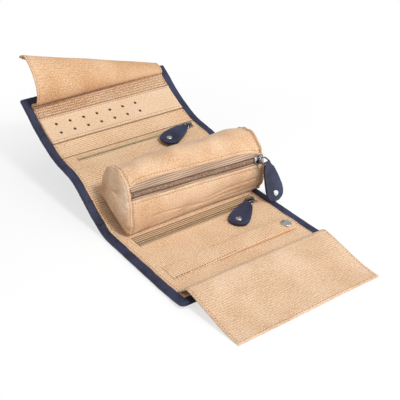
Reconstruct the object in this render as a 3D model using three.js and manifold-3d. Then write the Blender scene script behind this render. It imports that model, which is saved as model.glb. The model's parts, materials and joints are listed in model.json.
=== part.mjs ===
import * as THREE from "three";
import { mergeVertices } from "three/addons/utils/BufferGeometryUtils.js";
import Module from "manifold-3d";

// An open jewellery roll, in millimetres. X runs across it, Y from the front flap to the back edge, Z up.
const halfWidth = 100;
const borderWidth = 9;
const shellThickness = 1.5;
const interliningThickness = 1.2;
const liningThickness = 1;
const clearance = 0.3;
const borderRise = 0.3;
const interliningInset = 1;

// The open sheet lies flat in front and climbs to the back edge.
const backEdgeY = 197;
const climb = 85;
const frontEdgeY = -127;
const frontFoldY = -4;
const backFoldY = 59;
const upperFoldY = 125;
const sheetProfileShares = [
  [-0.645, 0.034],
  [-0.558, 0.01],
  [-0.462, 0],
  [-0.0203, 0],
  [0.071, 0],
  [0.1117, 0.035],
  [0.1523, 0.085],
  [0.2132, 0.155],
  [0.2995, 0.29],
  [0.3756, 0.4],
  [0.4264, 0.4435],
  [0.4924, 0.465],
  [0.5685, 0.4835],
  [0.6345, 0.515],
  [0.7411, 0.62],
  [0.8376, 0.738],
  [0.9239, 0.885],
  [1, 1],
];
const foldHalfGap = 0.35;
const foldHalfGapBelow = 1;
const foldAxisRise = 0.4;

// Two zip pockets open through the lining, one behind the pouch and one in front of it.
const backZip = { y: 108.5, near: 3.5, far: 3.5, leftInset: 24, rightInset: 16 };
const frontZip = { y: -17.2, near: 6.6, far: 11.2, leftInset: 21.5, rightInset: 16 };
const coilWidth = 2.4;
const coilThickness = 1.1;
const tapeThickness = 0.7;

// A stiff strip with two rows of punched holes holds earrings.
const earringStrip = { front: 140, back: 172, side: 0.6, thickness: 1.4 };
const earringHole = {
  radius: 1.5,
  leftInset: 26,
  pitch: 18,
  columns: 7,
  rowsY: [150.5, 161.7],
  facets: 12,
  cutDepth: 6,
};

// A padded strap holds rings and closes with a snap at its right end.
const strap = {
  leftInset: 19,
  rightInset: 18.5,
  front: -88.5,
  back: -66,
  thickness: 4.2,
  corner: 1.8,
  steps: 4,
};
const snapCapShares = [0, 0.3, 0.55, 0.8, 1];
const snap = {
  rightInset: 26,
  y: -79,
  capRadius: 6.2,
  capHeight: 2,
  studRadius: 4,
  studHeight: 1.2,
  facets: 28,
};

// The front flap leaves a seam near the front edge, rises over the border and falls to the table.
const flapThickness = 1.8;
const flapStations = 7;
const frontFlapInset = 8.5;
const frontFlapSeamY = -107;
const frontFlapLength = 88.5;
const frontFlapDrift = 5;
const crestSlope = -0.32;
const frontRootShares = [
  [0, 0.004, 0.004],
  [0.045, 0.03, 0.035],
  [0.085, 0.075, 0.085],
  [0.1415, 0.12, 0.12],
];
const frontFlapShares = [
  [0.1485, 0.12, 0.12],
  [0.2, 0.118, 0.112],
  [0.27, 0.104, 0.097],
  [0.36, 0.078, 0.075],
  [0.46, 0.05, 0.05],
  [0.6, 0.012, 0.01],
  [0.75, -0.024, -0.024],
  [0.88, -0.043, -0.043],
  [1, -0.0525, -0.0525],
];

// The back flap leaves its seam at the back edge and curls, widely at the left and tightly at the right.
const backFlapInset = 9;
const backFlapSeamY = 187;
const backFlapLength = 94;
const backFlapLeftShares = [
  [-0.002, 0.012],
  [-0.13, 0.065],
  [-0.183, 0.165],
  [-0.19, 0.28],
  [-0.145, 0.4],
  [-0.05, 0.525],
  [0.075, 0.613],
  [0.13, 0.615],
  [0.18, 0.59],
  [0.215, 0.56],
  [0.245, 0.526],
];
const backFlapRightShares = [
  [-0.018, 0.014],
  [-0.014, 0.032],
  [-0.006, 0.05],
  [0.01, 0.07],
  [0.035, 0.088],
  [0.075, 0.104],
  [0.13, 0.11],
  [0.2, 0.065],
  [0.25, -0.07],
  [0.28, -0.29],
  [0.3, -0.53],
];

// The pouch is a soft hollow loaf; its outline is given at both ends in shares of its height.
const pouchHeight = 75;
const pouchLeftInset = 22;
const pouchRightInset = 2;
const pouchWall = 2;
const pouchLeftShares = [
  [-0.02, 0.07],
  [-0.055, 0.16],
  [-0.072, 0.32],
  [-0.062, 0.47],
  [-0.035, 0.62],
  [0, 0.76],
  [0.06, 0.88],
  [0.155, 0.965],
  [0.28, 1],
  [0.42, 0.975],
  [0.54, 0.905],
  [0.62, 0.8],
  [0.665, 0.67],
  [0.7, 0.53],
  [0.735, 0.41],
];
const pouchRightShares = [
  [-0.02, 0.075],
  [-0.075, 0.16],
  [-0.125, 0.31],
  [-0.135, 0.45],
  [-0.11, 0.59],
  [-0.06, 0.715],
  [0.01, 0.835],
  [0.11, 0.93],
  [0.24, 0.98],
  [0.39, 0.965],
  [0.52, 0.9],
  [0.61, 0.79],
  [0.665, 0.65],
  [0.705, 0.52],
  [0.74, 0.41],
];
const pouchWaistDepth = 1.6;
const pouchCrownShare = 0.07;
const pouchStations = 9;
const weldDistance = 0.0001;
const capDepth = 7;
const capShares = [
  [0, 1],
  [0.35, 0.985],
  [0.7, 0.9],
  [0.92, 0.7],
  [1, 0.4],
];

// The barrel zip runs along the front of the pouch and sags to the right. Its slot gapes more above the
// coil than below, and its upper lip comes down at both ends.
const barrelZip = {
  leftInset: 25,
  rightInset: 7,
  leftZ: 53.6,
  rightZ: 49.2,
  above: 12.4,
  below: 6.8,
  narrowing: 0.5,
  squareness: 6,
  coil: 5,
};

// Each slider carries a wire loop, and the loop carries a leather pull with a plain stud.
const slider = {
  length: 10,
  width: 6.6,
  thickness: 2.4,
  nose: 0.6,
  bridgeWidth: 2,
  bridgeWall: 1,
  post: 1.3,
};
const barrelSlider = { ...slider, length: 13, width: 9.2 };
const wireRadius = 0.7;
const loopSlack = 0.4;
const loop = { width: 11, length: 11, facets: 8 };
const tab = { length: 48, halfWidth: 12, thickness: 3, neckStart: 2 };
const tabShares = [
  [0, 0.31],
  [0.075, 0.31],
  [0.12, 0.5],
  [0.2, 0.64],
  [0.45, 0.86],
  [0.68, 1],
  [0.82, 0.98],
  [0.92, 0.8],
  [0.98, 0.5],
  [1, 0.16],
];
const tabStud = { radius: 3.4, height: 1.1, share: 0.8, facets: 20 };

// Where each slider stands, how its pull points, and the tilts of its loop and its tab in degrees.
const backPull = { slider, rightInset: 22.5, heading: 24, loopTilt: 6, tabTilt: 0.8 };
const frontPull = { slider, rightInset: 25, heading: 34, loopTilt: -4, tabTilt: -1.2 };
const barrelPull = {
  slider: barrelSlider,
  rightInset: 9,
  heading: 8,
  loopTilt: 56,
  tabTilt: -1.5,
  offset: 2.6,
  bridgeAcross: true,
};

const leather = { color: 0x2a2e4c, roughness: 0.55, metalness: 0 };
const canvas = { color: 0xd9b48c, roughness: 0.85, metalness: 0 };
const board = { color: 0xc9c0b0, roughness: 0.9, metalness: 0 };
const metal = { color: 0x55565c, roughness: 0.35, metalness: 1 };
const nickel = { color: 0xb9bbbf, roughness: 0.3, metalness: 1 };
const tapeTint = { color: 0x8f7f63, roughness: 0.8, metalness: 0 };
const coilTint = { color: 0x5f4c3c, roughness: 0.5, metalness: 0 };

const wasm = await Module();
wasm.setup();

const root = new THREE.Group();
const acrossX = new THREE.Vector3(1, 0, 0);

const pouchLeftX = pouchLeftInset - halfWidth;
const pouchRightX = halfWidth - pouchRightInset;
const barrelLeft = barrelZip.leftInset - halfWidth;
const barrelRight = halfWidth - barrelZip.rightInset;
const barrelPullX = halfWidth - barrelPull.rightInset;
const sheetThickness = shellThickness + interliningThickness + liningThickness + clearance + clearance;
const liningHalf = halfWidth - borderWidth;
const shellTop = shellThickness - sheetThickness;
const liningFloor = -liningThickness;
const interliningTop = liningFloor - clearance;
const interliningFloor = interliningTop - interliningThickness;

function add(name, geometry, look) {
  const mesh = new THREE.Mesh(geometry, new THREE.MeshStandardMaterial(look));
  mesh.name = name;
  root.add(mesh);
}

// Turns a geometry into a closed solid for adding and cutting.
function solid(geometry) {
  const bare = geometry.clone();
  bare.deleteAttribute("normal");
  bare.deleteAttribute("uv");
  const merged = mergeVertices(bare, weldDistance);
  const mesh = new wasm.Mesh({
    numProp: 3,
    vertProperties: merged.attributes.position.array,
    triVerts: new Uint32Array(merged.index.array),
  });
  return new wasm.Manifold(mesh);
}

function fromSolid(shape) {
  const mesh = shape.getMesh();
  const geometry = new THREE.BufferGeometry();
  geometry.setAttribute("position", new THREE.BufferAttribute(new Float32Array(mesh.vertProperties), 3));
  geometry.setIndex(new THREE.BufferAttribute(new Uint32Array(mesh.triVerts), 1));
  return geometry;
}

function joined(geometries) {
  return fromSolid(wasm.Manifold.union(geometries.map(solid)));
}

function cut(geometry, cutters) {
  let shape = solid(geometry);
  for (const cutter of cutters) {
    shape = shape.subtract(solid(cutter));
  }
  return fromSolid(shape);
}

// The end faces of a ribbon, whose outline runs along one side and back along the other.
function ribbonFaces(count) {
  const faces = [];
  for (let i = 0; i + 1 < count / 2; i += 1) {
    const across = count - 1 - i;
    faces.push([i, i + 1, across - 1], [i, across - 1, across]);
  }
  return faces;
}

// Skins rings of equal point counts and closes both ends; flat is the outline the ends are filled by.
function loft(rings, flat) {
  const count = rings[0].length;
  const faces = flat ? THREE.ShapeUtils.triangulateShape(flat, []) : ribbonFaces(count);
  const positions = rings.flat().flatMap((p) => [p.x, p.y, p.z]);
  const index = [];
  for (let r = 0; r + 1 < rings.length; r += 1) {
    for (let i = 0; i < count; i += 1) {
      const a = r * count + i;
      const b = r * count + ((i + 1) % count);
      index.push(a, b, b + count, a, b + count, a + count);
    }
  }
  const last = (rings.length - 1) * count;
  const turned = flat && THREE.ShapeUtils.isClockWise(flat);
  for (const [a, b, c] of faces) {
    const [p, q] = turned ? [c, b] : [b, c];
    index.push(a, q, p, last + a, last + p, last + q);
  }
  const geometry = new THREE.BufferGeometry();
  geometry.setAttribute("position", new THREE.Float32BufferAttribute(positions, 3));
  geometry.setIndex(index);
  if (solid(geometry).volume() < 0) {
    const outward = [];
    for (let i = 0; i < index.length; i += 3) {
      outward.push(index[i], index[i + 2], index[i + 1]);
    }
    geometry.setIndex(outward);
  }
  return geometry;
}

const profile = sheetProfileShares.map(([y, z]) => [y * backEdgeY, z * climb + sheetThickness]);

function segmentAt(y) {
  let i = 0;
  while (i + 2 < profile.length && profile[i + 1][0] < y) {
    i += 1;
  }
  return i;
}

function slopeAt(y) {
  const i = segmentAt(y);
  const [a, b] = [profile[i], profile[i + 1]];
  return Math.atan2(b[1] - a[1], b[0] - a[0]);
}

function heightAt(y) {
  const i = segmentAt(y);
  return profile[i][1] + (y - profile[i][0]) * Math.tan(slopeAt(y));
}

// A point of the sheet's top at y, moved along the local normal by rise.
function onSheet(x, y, rise) {
  const s = slopeAt(y);
  return new THREE.Vector3(x, y - Math.sin(s) * rise, heightAt(y) + Math.cos(s) * rise);
}

// The stations of a strip: its two ends and each bend of the profile between them.
function stations(front, back, frontLean, backLean) {
  const inside = profile.map((p) => p[0]).filter((y) => y > front + clearance && y < back - clearance);
  const list = [{ y: front, tilt: slopeAt(front + clearance) + frontLean }];
  for (const y of inside) {
    list.push({ y, tilt: (slopeAt(y - clearance) + slopeAt(y + clearance)) / 2 });
  }
  list.push({ y: back, tilt: slopeAt(back - clearance) + backLean });
  return list;
}

// Sweeps an outline of (x, rise) points along the sheet from front to back.
function strip(front, back, outline, frontLean = 0, backLean = 0) {
  const rings = stations(front, back, frontLean, backLean).map(({ y, tilt }) =>
    outline.map(([x, rise]) => {
      return new THREE.Vector3(x, y - Math.sin(tilt) * rise, heightAt(y) + Math.cos(tilt) * rise);
    }),
  );
  const flat = outline.map(([x, rise]) => new THREE.Vector2(x, rise));
  return loft(rings, flat);
}

function band(left, right, low, high) {
  return [
    [left, low],
    [right, low],
    [right, high],
    [left, high],
  ];
}

const foldLean = Math.atan2(foldHalfGapBelow - foldHalfGap, sheetThickness + foldAxisRise);
const sideGap = foldHalfGap + foldAxisRise * Math.tan(foldLean);
const wellHalf = liningHalf + clearance;
const channel = [
  [-halfWidth, -sheetThickness],
  [halfWidth, -sheetThickness],
  [halfWidth, borderRise],
  [wellHalf, borderRise],
  [wellHalf, shellTop],
  [-wellHalf, shellTop],
  [-wellHalf, borderRise],
  [-halfWidth, borderRise],
];
const fullSection = band(-halfWidth, halfWidth, -sheetThickness, borderRise);
const interliningHalf = liningHalf - interliningInset;
const interliningSection = band(-interliningHalf, interliningHalf, interliningFloor, interliningTop);
const liningSection = band(-liningHalf, liningHalf, liningFloor, 0);

const panels = [
  { name: "front", from: frontEdgeY, to: frontFoldY - sideGap, edge: "front", zip: frontZip },
  { name: "middle", from: frontFoldY + sideGap, to: backFoldY - sideGap, edge: "none" },
  { name: "back", from: backFoldY + sideGap, to: upperFoldY - sideGap, edge: "none", zip: backZip },
  { name: "upper", from: upperFoldY + sideGap, to: backEdgeY, edge: "back" },
];

for (const panel of panels) {
  const leanFront = panel.edge === "front" ? 0 : foldLean;
  const leanBack = panel.edge === "back" ? 0 : -foldLean;
  let shell = strip(panel.from, panel.to, channel, leanFront, leanBack);
  let inFront = panel.from;
  let inBack = panel.to;
  if (panel.edge === "front") {
    inFront = panel.from + borderWidth;
    shell = joined([shell, strip(panel.from, inFront, fullSection)]);
    inFront += clearance;
  }
  if (panel.edge === "back") {
    inBack = panel.to - borderWidth;
    shell = joined([shell, strip(inBack, panel.to, fullSection)]);
    inBack -= clearance;
  }
  add(`shell_${panel.name}`, shell, leather);
  add(`interlining_${panel.name}`, strip(inFront, inBack, interliningSection, leanFront, leanBack), board);
  let lining = strip(inFront, inBack, liningSection, leanFront, leanBack);
  if (panel.zip) {
    const { y, near, far, leftInset, rightInset } = panel.zip;
    const left = leftInset - halfWidth;
    const right = halfWidth - rightInset;
    const mouth = band(left, right, liningFloor - clearance, clearance);
    const zipFront = y - near;
    const zipBack = y + far;
    lining = cut(lining, [strip(zipFront, zipBack, mouth)]);
    const tape = band(left + clearance, right - clearance, liningFloor, liningFloor + tapeThickness);
    const coil = band(left + clearance, right - clearance, liningFloor, liningFloor + coilThickness);
    const tapeEnd = coilWidth / 2 + clearance;
    add(`zip_tape_${panel.name}_near`, strip(zipFront + clearance, y - tapeEnd, tape), tapeTint);
    add(`zip_tape_${panel.name}_far`, strip(y + tapeEnd, zipBack - clearance, tape), tapeTint);
    add(`zip_coil_${panel.name}`, strip(y - coilWidth / 2, y + coilWidth / 2, coil), coilTint);
  }
  add(`lining_${panel.name}`, lining, canvas);
}

const holes = [];
for (const y of earringHole.rowsY) {
  for (let i = 0; i < earringHole.columns; i += 1) {
    const hole = new THREE.CylinderGeometry(
      earringHole.radius,
      earringHole.radius,
      earringHole.cutDepth,
      earringHole.facets,
    );
    hole.rotateX(Math.PI / 2 + slopeAt(y));
    const at = onSheet(earringHole.leftInset - halfWidth + i * earringHole.pitch, y, earringStrip.thickness);
    holes.push(hole.translate(at.x, at.y, at.z));
  }
}
const stripHalf = liningHalf - earringStrip.side;
const stripSection = band(-stripHalf, stripHalf, clearance, clearance + earringStrip.thickness);
add("earring_strip", cut(strip(earringStrip.front, earringStrip.back, stripSection), holes), canvas);

// The strap is a long pad with rounded edges, pocketed below for the snap stud.
const strapFloor = sheetThickness + clearance;
const strapTop = strapFloor + strap.thickness;
const strapOutline = new THREE.Shape();
strapOutline.moveTo(strap.front + strap.corner, strapFloor);
strapOutline.lineTo(strap.back - strap.corner, strapFloor);
strapOutline.quadraticCurveTo(strap.back, strapFloor, strap.back, strapFloor + strap.corner);
strapOutline.lineTo(strap.back, strapTop - strap.corner);
strapOutline.quadraticCurveTo(strap.back, strapTop, strap.back - strap.corner, strapTop);
strapOutline.lineTo(strap.front + strap.corner, strapTop);
strapOutline.quadraticCurveTo(strap.front, strapTop, strap.front, strapTop - strap.corner);
strapOutline.lineTo(strap.front, strapFloor + strap.corner);
strapOutline.quadraticCurveTo(strap.front, strapFloor, strap.front + strap.corner, strapFloor);
const strapFlat = strapOutline.getPoints(strap.steps).slice(0, -1);
const snapX = halfWidth - snap.rightInset;
const strapEnds = [strap.leftInset - halfWidth, halfWidth - strap.rightInset];
const strapRings = strapEnds.map((x) => strapFlat.map((p) => new THREE.Vector3(x, p.x, p.y)));
const pocketRadius = snap.studRadius + clearance;
const pocketHeight = snap.studHeight + clearance;
const pocketSpan = pocketHeight + pocketHeight;
const pocket = new THREE.CylinderGeometry(pocketRadius, pocketRadius, pocketSpan, snap.facets);
pocket.rotateX(Math.PI / 2).translate(snapX, snap.y, strapFloor);
add("ring_strap", cut(loft(strapRings, strapFlat), [pocket]), canvas);
const stud = new THREE.CylinderGeometry(snap.studRadius, snap.studRadius, snap.studHeight, snap.facets);
stud.rotateX(Math.PI / 2).translate(snapX, snap.y, strapFloor + snap.studHeight / 2);
add("snap_stud", stud, nickel);
const capLine = snapCapShares.map((share) => {
  const angle = (share * Math.PI) / 2;
  return new THREE.Vector2(snap.capRadius * Math.sin(angle), snap.capHeight * Math.cos(angle));
});
capLine.push(new THREE.Vector2(0, 0));
const cap = new THREE.LatheGeometry(capLine.reverse(), snap.facets);
cap.rotateX(Math.PI / 2).translate(snapX, snap.y, strapTop + clearance);
add("snap_cap", cap, nickel);

// Thickens a curve of (y, z) points to one side and returns the closed outline.
// Two sheets that meet at a crest share the slope of their end faces there.
function thickened(points, thickness, crest) {
  const far = points.map((p, i) => {
    const a = points[Math.max(i - 1, 0)];
    const b = points[Math.min(i + 1, points.length - 1)];
    let along = new THREE.Vector2(b[0] - a[0], b[1] - a[1]).normalize();
    if (i === crest) {
      along = new THREE.Vector2(Math.cos(crestSlope), Math.sin(crestSlope));
    }
    return [p[0] + along.y * thickness, p[1] - along.x * thickness];
  });
  return [...points, ...far.reverse()];
}

// Skins a thin sheet between a left and a right curve of (y, z) points.
function curledSheet(left, right, half, thickness, crest, drift = 0) {
  const leftRing = thickened(left, thickness, crest);
  const rightRing = thickened(right, thickness, crest);
  const rings = [];
  for (let s = 0; s < flapStations; s += 1) {
    const t = s / (flapStations - 1);
    rings.push(
      leftRing.map((p, i) => {
        const q = rightRing[i];
        const x = half * (t + t - 1) + (drift * (frontFlapSeamY - p[0])) / frontFlapLength;
        return new THREE.Vector3(x, p[0] + (q[0] - p[0]) * t, p[1] + (q[1] - p[1]) * t);
      }),
    );
  }
  return loft(rings);
}

const seamZ = heightAt(frontFlapSeamY) + flapThickness;
const flapLine = (shares, column) => {
  const line = shares.map((row) => {
    return [frontFlapSeamY - row[0] * frontFlapLength, seamZ + row[column] * frontFlapLength];
  });
  return line.reverse();
};
const frontSheet = (shares, crest) => {
  const half = halfWidth - frontFlapInset;
  return curledSheet(flapLine(shares, 1), flapLine(shares, 2), half, flapThickness, crest, frontFlapDrift);
};
add("front_flap_root", frontSheet(frontRootShares, 0), canvas);
add("front_flap", frontSheet(frontFlapShares, frontFlapShares.length - 1), canvas);

const backSeamZ = heightAt(backFlapSeamY);
const backLine = (shares) => {
  const line = shares.map(([y, z]) => [backFlapSeamY + y * backFlapLength, backSeamZ + z * backFlapLength]);
  return line.reverse();
};
const backLeft = backLine(backFlapLeftShares);
const backRight = backLine(backFlapRightShares);
const backSheet = curledSheet(backLeft, backRight, halfWidth - backFlapInset, -flapThickness);
add("back_flap", backSheet, canvas);

// The outline of the pouch at a share t of its length, set in by depth.
function pouchOutline(t, depth) {
  const crown = pouchHeight * (1 + pouchCrownShare * Math.sin(Math.PI * t));
  const points = pouchLeftShares.map((p, i) => {
    const q = pouchRightShares[i];
    return [(p[0] + (q[0] - p[0]) * t) * pouchHeight, (p[1] + (q[1] - p[1]) * t) * crown];
  });
  const waist = pouchWaistDepth * Math.sin(Math.PI * t) + depth;
  return points.map((p, i) => {
    const a = points[Math.max(i - 1, 0)];
    const b = points[Math.min(i + 1, points.length - 1)];
    const along = new THREE.Vector2(b[0] - a[0], b[1] - a[1]).normalize();
    if (i === 0 || i === points.length - 1) {
      const y = p[0] + (i === 0 ? waist : -waist);
      return [y, heightAt(y) + clearance + borderRise];
    }
    return [p[0] + along.y * waist, p[1] - along.x * waist];
  });
}

const pouchLength = pouchRightX - pouchLeftX;
const wallRings = [];
for (let s = 0; s < pouchStations; s += 1) {
  const t = s / (pouchStations - 1);
  const outer = pouchOutline(t, 0);
  const inner = pouchOutline(t, pouchWall).reverse();
  const x = pouchLeftX + t * pouchLength;
  wallRings.push([...outer, ...inner].map((p) => new THREE.Vector3(x, p[0], p[1])));
}
const zipSpan = barrelRight - barrelLeft;
const zipZ = (x) => barrelZip.leftZ + ((barrelZip.rightZ - barrelZip.leftZ) * (x - barrelLeft)) / zipSpan;

// The y of the pouch's front face at x on the zip's line.
function faceY(x, z) {
  const line = pouchOutline((x - pouchLeftX) / pouchLength, 0);
  let i = 0;
  while (line[i + 1][1] < z) {
    i += 1;
  }
  const [a, b] = [line[i], line[i + 1]];
  return a[0] + ((b[0] - a[0]) * (z - a[1])) / (b[1] - a[1]);
}

// How far the pouch's front face leans back at x on the zip's line.
function faceLean(x) {
  const z = zipZ(x);
  const reach = barrelZip.below;
  return Math.atan2(faceY(x, z + reach) - faceY(x, z - reach), reach + reach);
}

// The height of the slot's upper lip over the zip's line at x.
function lipHeight(x) {
  const fromMiddle = Math.abs(x - (barrelLeft + barrelRight) / 2) / (zipSpan / 2);
  return barrelZip.above * (1 - barrelZip.narrowing * fromMiddle ** barrelZip.squareness);
}

// A beam along the barrel zip: depth counts from the face inwards, height up the face from the zip's line.
function zipBeam(left, right, inner, outer, low, highAt) {
  const rings = [];
  for (let s = 0; s < pouchStations; s += 1) {
    const x = left + ((right - left) * s) / (pouchStations - 1);
    const high = highAt(x);
    const corners = [
      [outer, low],
      [inner, low],
      [inner, high],
      [outer, high],
    ];
    const lean = faceLean(x);
    const point = ([depth, height]) => {
      const z = zipZ(x) + height * Math.cos(lean);
      return new THREE.Vector3(x, faceY(x, z) + depth * Math.cos(lean), z - depth * Math.sin(lean));
    };
    rings.push(corners.map(point));
  }
  return loft(rings, rings[0].map((p) => new THREE.Vector2(p.y, p.z)));
}

const slotCutter = zipBeam(barrelLeft, barrelRight, capDepth, -capDepth, -barrelZip.below, lipHeight);
add("pouch_wall", cut(loft(wallRings), [slotCutter]), canvas);
const tapeLeft = barrelLeft + clearance;
const tapeRight = barrelRight - clearance;
const tapeIn = clearance + clearance + tapeThickness;
const coilHalf = barrelZip.coil / 2;
const tapeMeet = coilHalf + clearance;
const tapeFoot = clearance - barrelZip.below;
const tapeHead = (x) => lipHeight(x) - clearance;
const tapeOut = clearance + clearance;
add("barrel_tape_low", zipBeam(tapeLeft, tapeRight, tapeIn, tapeOut, tapeFoot, () => -tapeMeet), tapeTint);
add("barrel_tape_high", zipBeam(tapeLeft, tapeRight, tapeIn, tapeOut, tapeMeet, tapeHead), tapeTint);
add("barrel_coil", zipBeam(tapeLeft, tapeRight, tapeIn, clearance, -coilHalf, () => coilHalf), coilTint);

// A cap domes outward from an end of the pouch; side is minus one at the left.
function pouchCap(t, side) {
  const edge = pouchOutline(t, 0);
  const middle = edge.reduce((sum, p) => [sum[0] + p[0] / edge.length, sum[1] + p[1] / edge.length], [0, 0]);
  const start = (t === 0 ? pouchLeftX : pouchRightX) + side * clearance;
  const rings = capShares.map(([out, scale]) => {
    return edge.map((p) => {
      const y = middle[0] + (p[0] - middle[0]) * scale;
      const z = middle[1] + (p[1] - middle[1]) * scale;
      return new THREE.Vector3(start + side * out * capDepth, y, z);
    });
  });
  return loft(rings, edge.map((p) => new THREE.Vector2(p[0], p[1])));
}
add("pouch_cap_left", pouchCap(0, -1), canvas);
add("pouch_cap_right", pouchCap(1, 1), canvas);

function box(sizeX, sizeY, sizeZ, x, y, z) {
  return new THREE.BoxGeometry(sizeX, sizeY, sizeZ).translate(x, y, z);
}

// The slider in its own frame: X along the zip, Z out of the sheet, the loop's bar through the origin.
// Its bridge runs along the zip, or across it where the pull swings down.
const bridgeGap = wireRadius + loopSlack;
function sliderShape(cast, bridgeAcross) {
  const plateZ = -bridgeGap - cast.thickness / 2;
  const room = bridgeAcross ? cast.width : cast.length - cast.nose - cast.nose;
  const postReach = (room - cast.post) / 2;
  const postHeight = bridgeGap + bridgeGap + cast.bridgeWall + cast.bridgeWall;
  const postZ = -bridgeGap - cast.bridgeWall + postHeight / 2;
  const bridge = [
    box(cast.post, cast.bridgeWidth, postHeight, -postReach, 0, postZ),
    box(cast.post, cast.bridgeWidth, postHeight, postReach, 0, postZ),
    box(room, cast.bridgeWidth, cast.bridgeWall, 0, 0, bridgeGap + cast.bridgeWall / 2),
  ];
  if (bridgeAcross) {
    bridge.forEach((piece) => piece.rotateZ(Math.PI / 2));
  }
  return joined([box(cast.length, cast.width, cast.thickness, 0, 0, plateZ), ...bridge]);
}
const sliderRise = slider.thickness + bridgeGap;

// The loop in its own frame: X along the pull, Y along its bars, its inner bar through the origin.
const loopReach = loop.length - wireRadius - wireRadius;
function loopShape(offset) {
  const barLength = loop.width;
  const sideY = loop.width / 2 - wireRadius;
  const bar = (x) =>
    new THREE.CylinderGeometry(wireRadius, wireRadius, barLength, loop.facets).translate(x, offset, 0);
  const side = (y) => {
    const rod = new THREE.CylinderGeometry(wireRadius, wireRadius, loopReach, loop.facets);
    return rod.rotateZ(Math.PI / 2).translate(loopReach / 2, y + offset, 0);
  };
  return joined([bar(0), bar(loopReach), side(-sideY), side(sideY)]);
}

// The tab in its own frame: X along the pull from the loop's outer bar, which runs in a tunnel through it.
function tabShape() {
  const outline = new THREE.Shape();
  const edge = tabShares.map(([along, wide]) => [along * tab.length - tab.neckStart, wide * tab.halfWidth]);
  edge.forEach(([x, y], i) => (i === 0 ? outline.moveTo(x, y) : outline.lineTo(x, y)));
  edge.reverse().forEach(([x, y]) => outline.lineTo(x, -y));
  const blank = new THREE.ExtrudeGeometry(outline, { depth: tab.thickness, bevelEnabled: false });
  blank.translate(0, 0, -tab.thickness / 2);
  const radius = wireRadius + clearance;
  const tunnel = new THREE.CylinderGeometry(radius, radius, tab.length, loop.facets + loop.facets);
  return cut(blank, [tunnel]);
}

function studShape() {
  const shape = new THREE.CylinderGeometry(tabStud.radius, tabStud.radius, tabStud.height, tabStud.facets);
  const rise = tab.thickness / 2 + clearance + tabStud.height / 2;
  return shape.rotateX(Math.PI / 2).translate(tabStud.share * tab.length - tab.neckStart, 0, rise);
}

const degree = Math.PI / 180;

// Adds a slider, its loop, tab and stud; frame holds the pull's direction, bar direction and normal.
function addPull(name, place, sliderAlong, pull, frame, offset) {
  const sliderSide = new THREE.Vector3().crossVectors(frame.normal, sliderAlong);
  const sliderTurn = new THREE.Matrix4().makeBasis(sliderAlong, sliderSide, frame.normal).setPosition(place);
  add(`slider_${name}`, sliderShape(pull.slider, pull.bridgeAcross).applyMatrix4(sliderTurn), metal);
  const base = new THREE.Matrix4().makeBasis(frame.along, frame.bar, frame.normal).setPosition(place);
  const loopTurn = new THREE.Matrix4().makeRotationY(-pull.loopTilt * degree);
  add(`loop_${name}`, loopShape(offset).applyMatrix4(loopTurn).applyMatrix4(base), metal);
  const joint = new THREE.Vector3(loopReach, offset, 0).applyMatrix4(loopTurn);
  const tabTurn = new THREE.Matrix4().makeRotationY(-pull.tabTilt * degree).setPosition(joint);
  add(`tab_${name}`, tabShape().applyMatrix4(tabTurn).applyMatrix4(base), leather);
  add(`tab_stud_${name}`, studShape().applyMatrix4(tabTurn).applyMatrix4(base), nickel);
}

// A pull that lies on the sheet heads left and turns towards the front by its heading.
function sheetFrame(y, heading) {
  const s = slopeAt(y);
  const normal = new THREE.Vector3(0, -Math.sin(s), Math.cos(s));
  const along = new THREE.Vector3(-1, 0, 0).applyAxisAngle(normal, heading * degree);
  return { along, bar: new THREE.Vector3().crossVectors(normal, along), normal };
}

const onCoil = sliderRise + clearance + coilThickness - liningThickness;
const backPlace = onSheet(halfWidth - backPull.rightInset, backZip.y, onCoil);
addPull("back", backPlace, acrossX, backPull, sheetFrame(backZip.y, backPull.heading), 0);
const frontPlace = onSheet(halfWidth - frontPull.rightInset, frontZip.y, onCoil);
addPull("front", frontPlace, acrossX, frontPull, sheetFrame(frontZip.y, frontPull.heading), 0);

const facePoint = (x) => new THREE.Vector3(x, faceY(x, zipZ(x)), zipZ(x));
const barrelNext = facePoint(barrelPullX + slider.length);
const barrelAlong = barrelNext.sub(facePoint(barrelPullX - slider.length)).normalize();
const barrelLean = faceLean(barrelPullX);
const outward = new THREE.Vector3(0, -Math.cos(barrelLean), Math.sin(barrelLean));
const barrelPlace = facePoint(barrelPullX).addScaledVector(outward, sliderRise + clearance);
const straightDown = new THREE.Vector3().crossVectors(acrossX, outward);
const downFace = straightDown.applyAxisAngle(outward, barrelPull.heading * degree);
const barrelBar = new THREE.Vector3().crossVectors(outward, downFace);
const barrelFrame = { along: downFace, bar: barrelBar, normal: outward };
addPull("barrel", barrelPlace, barrelAlong, barrelPull, barrelFrame, barrelPull.offset);

export default root;
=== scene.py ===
import json
import math

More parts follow.
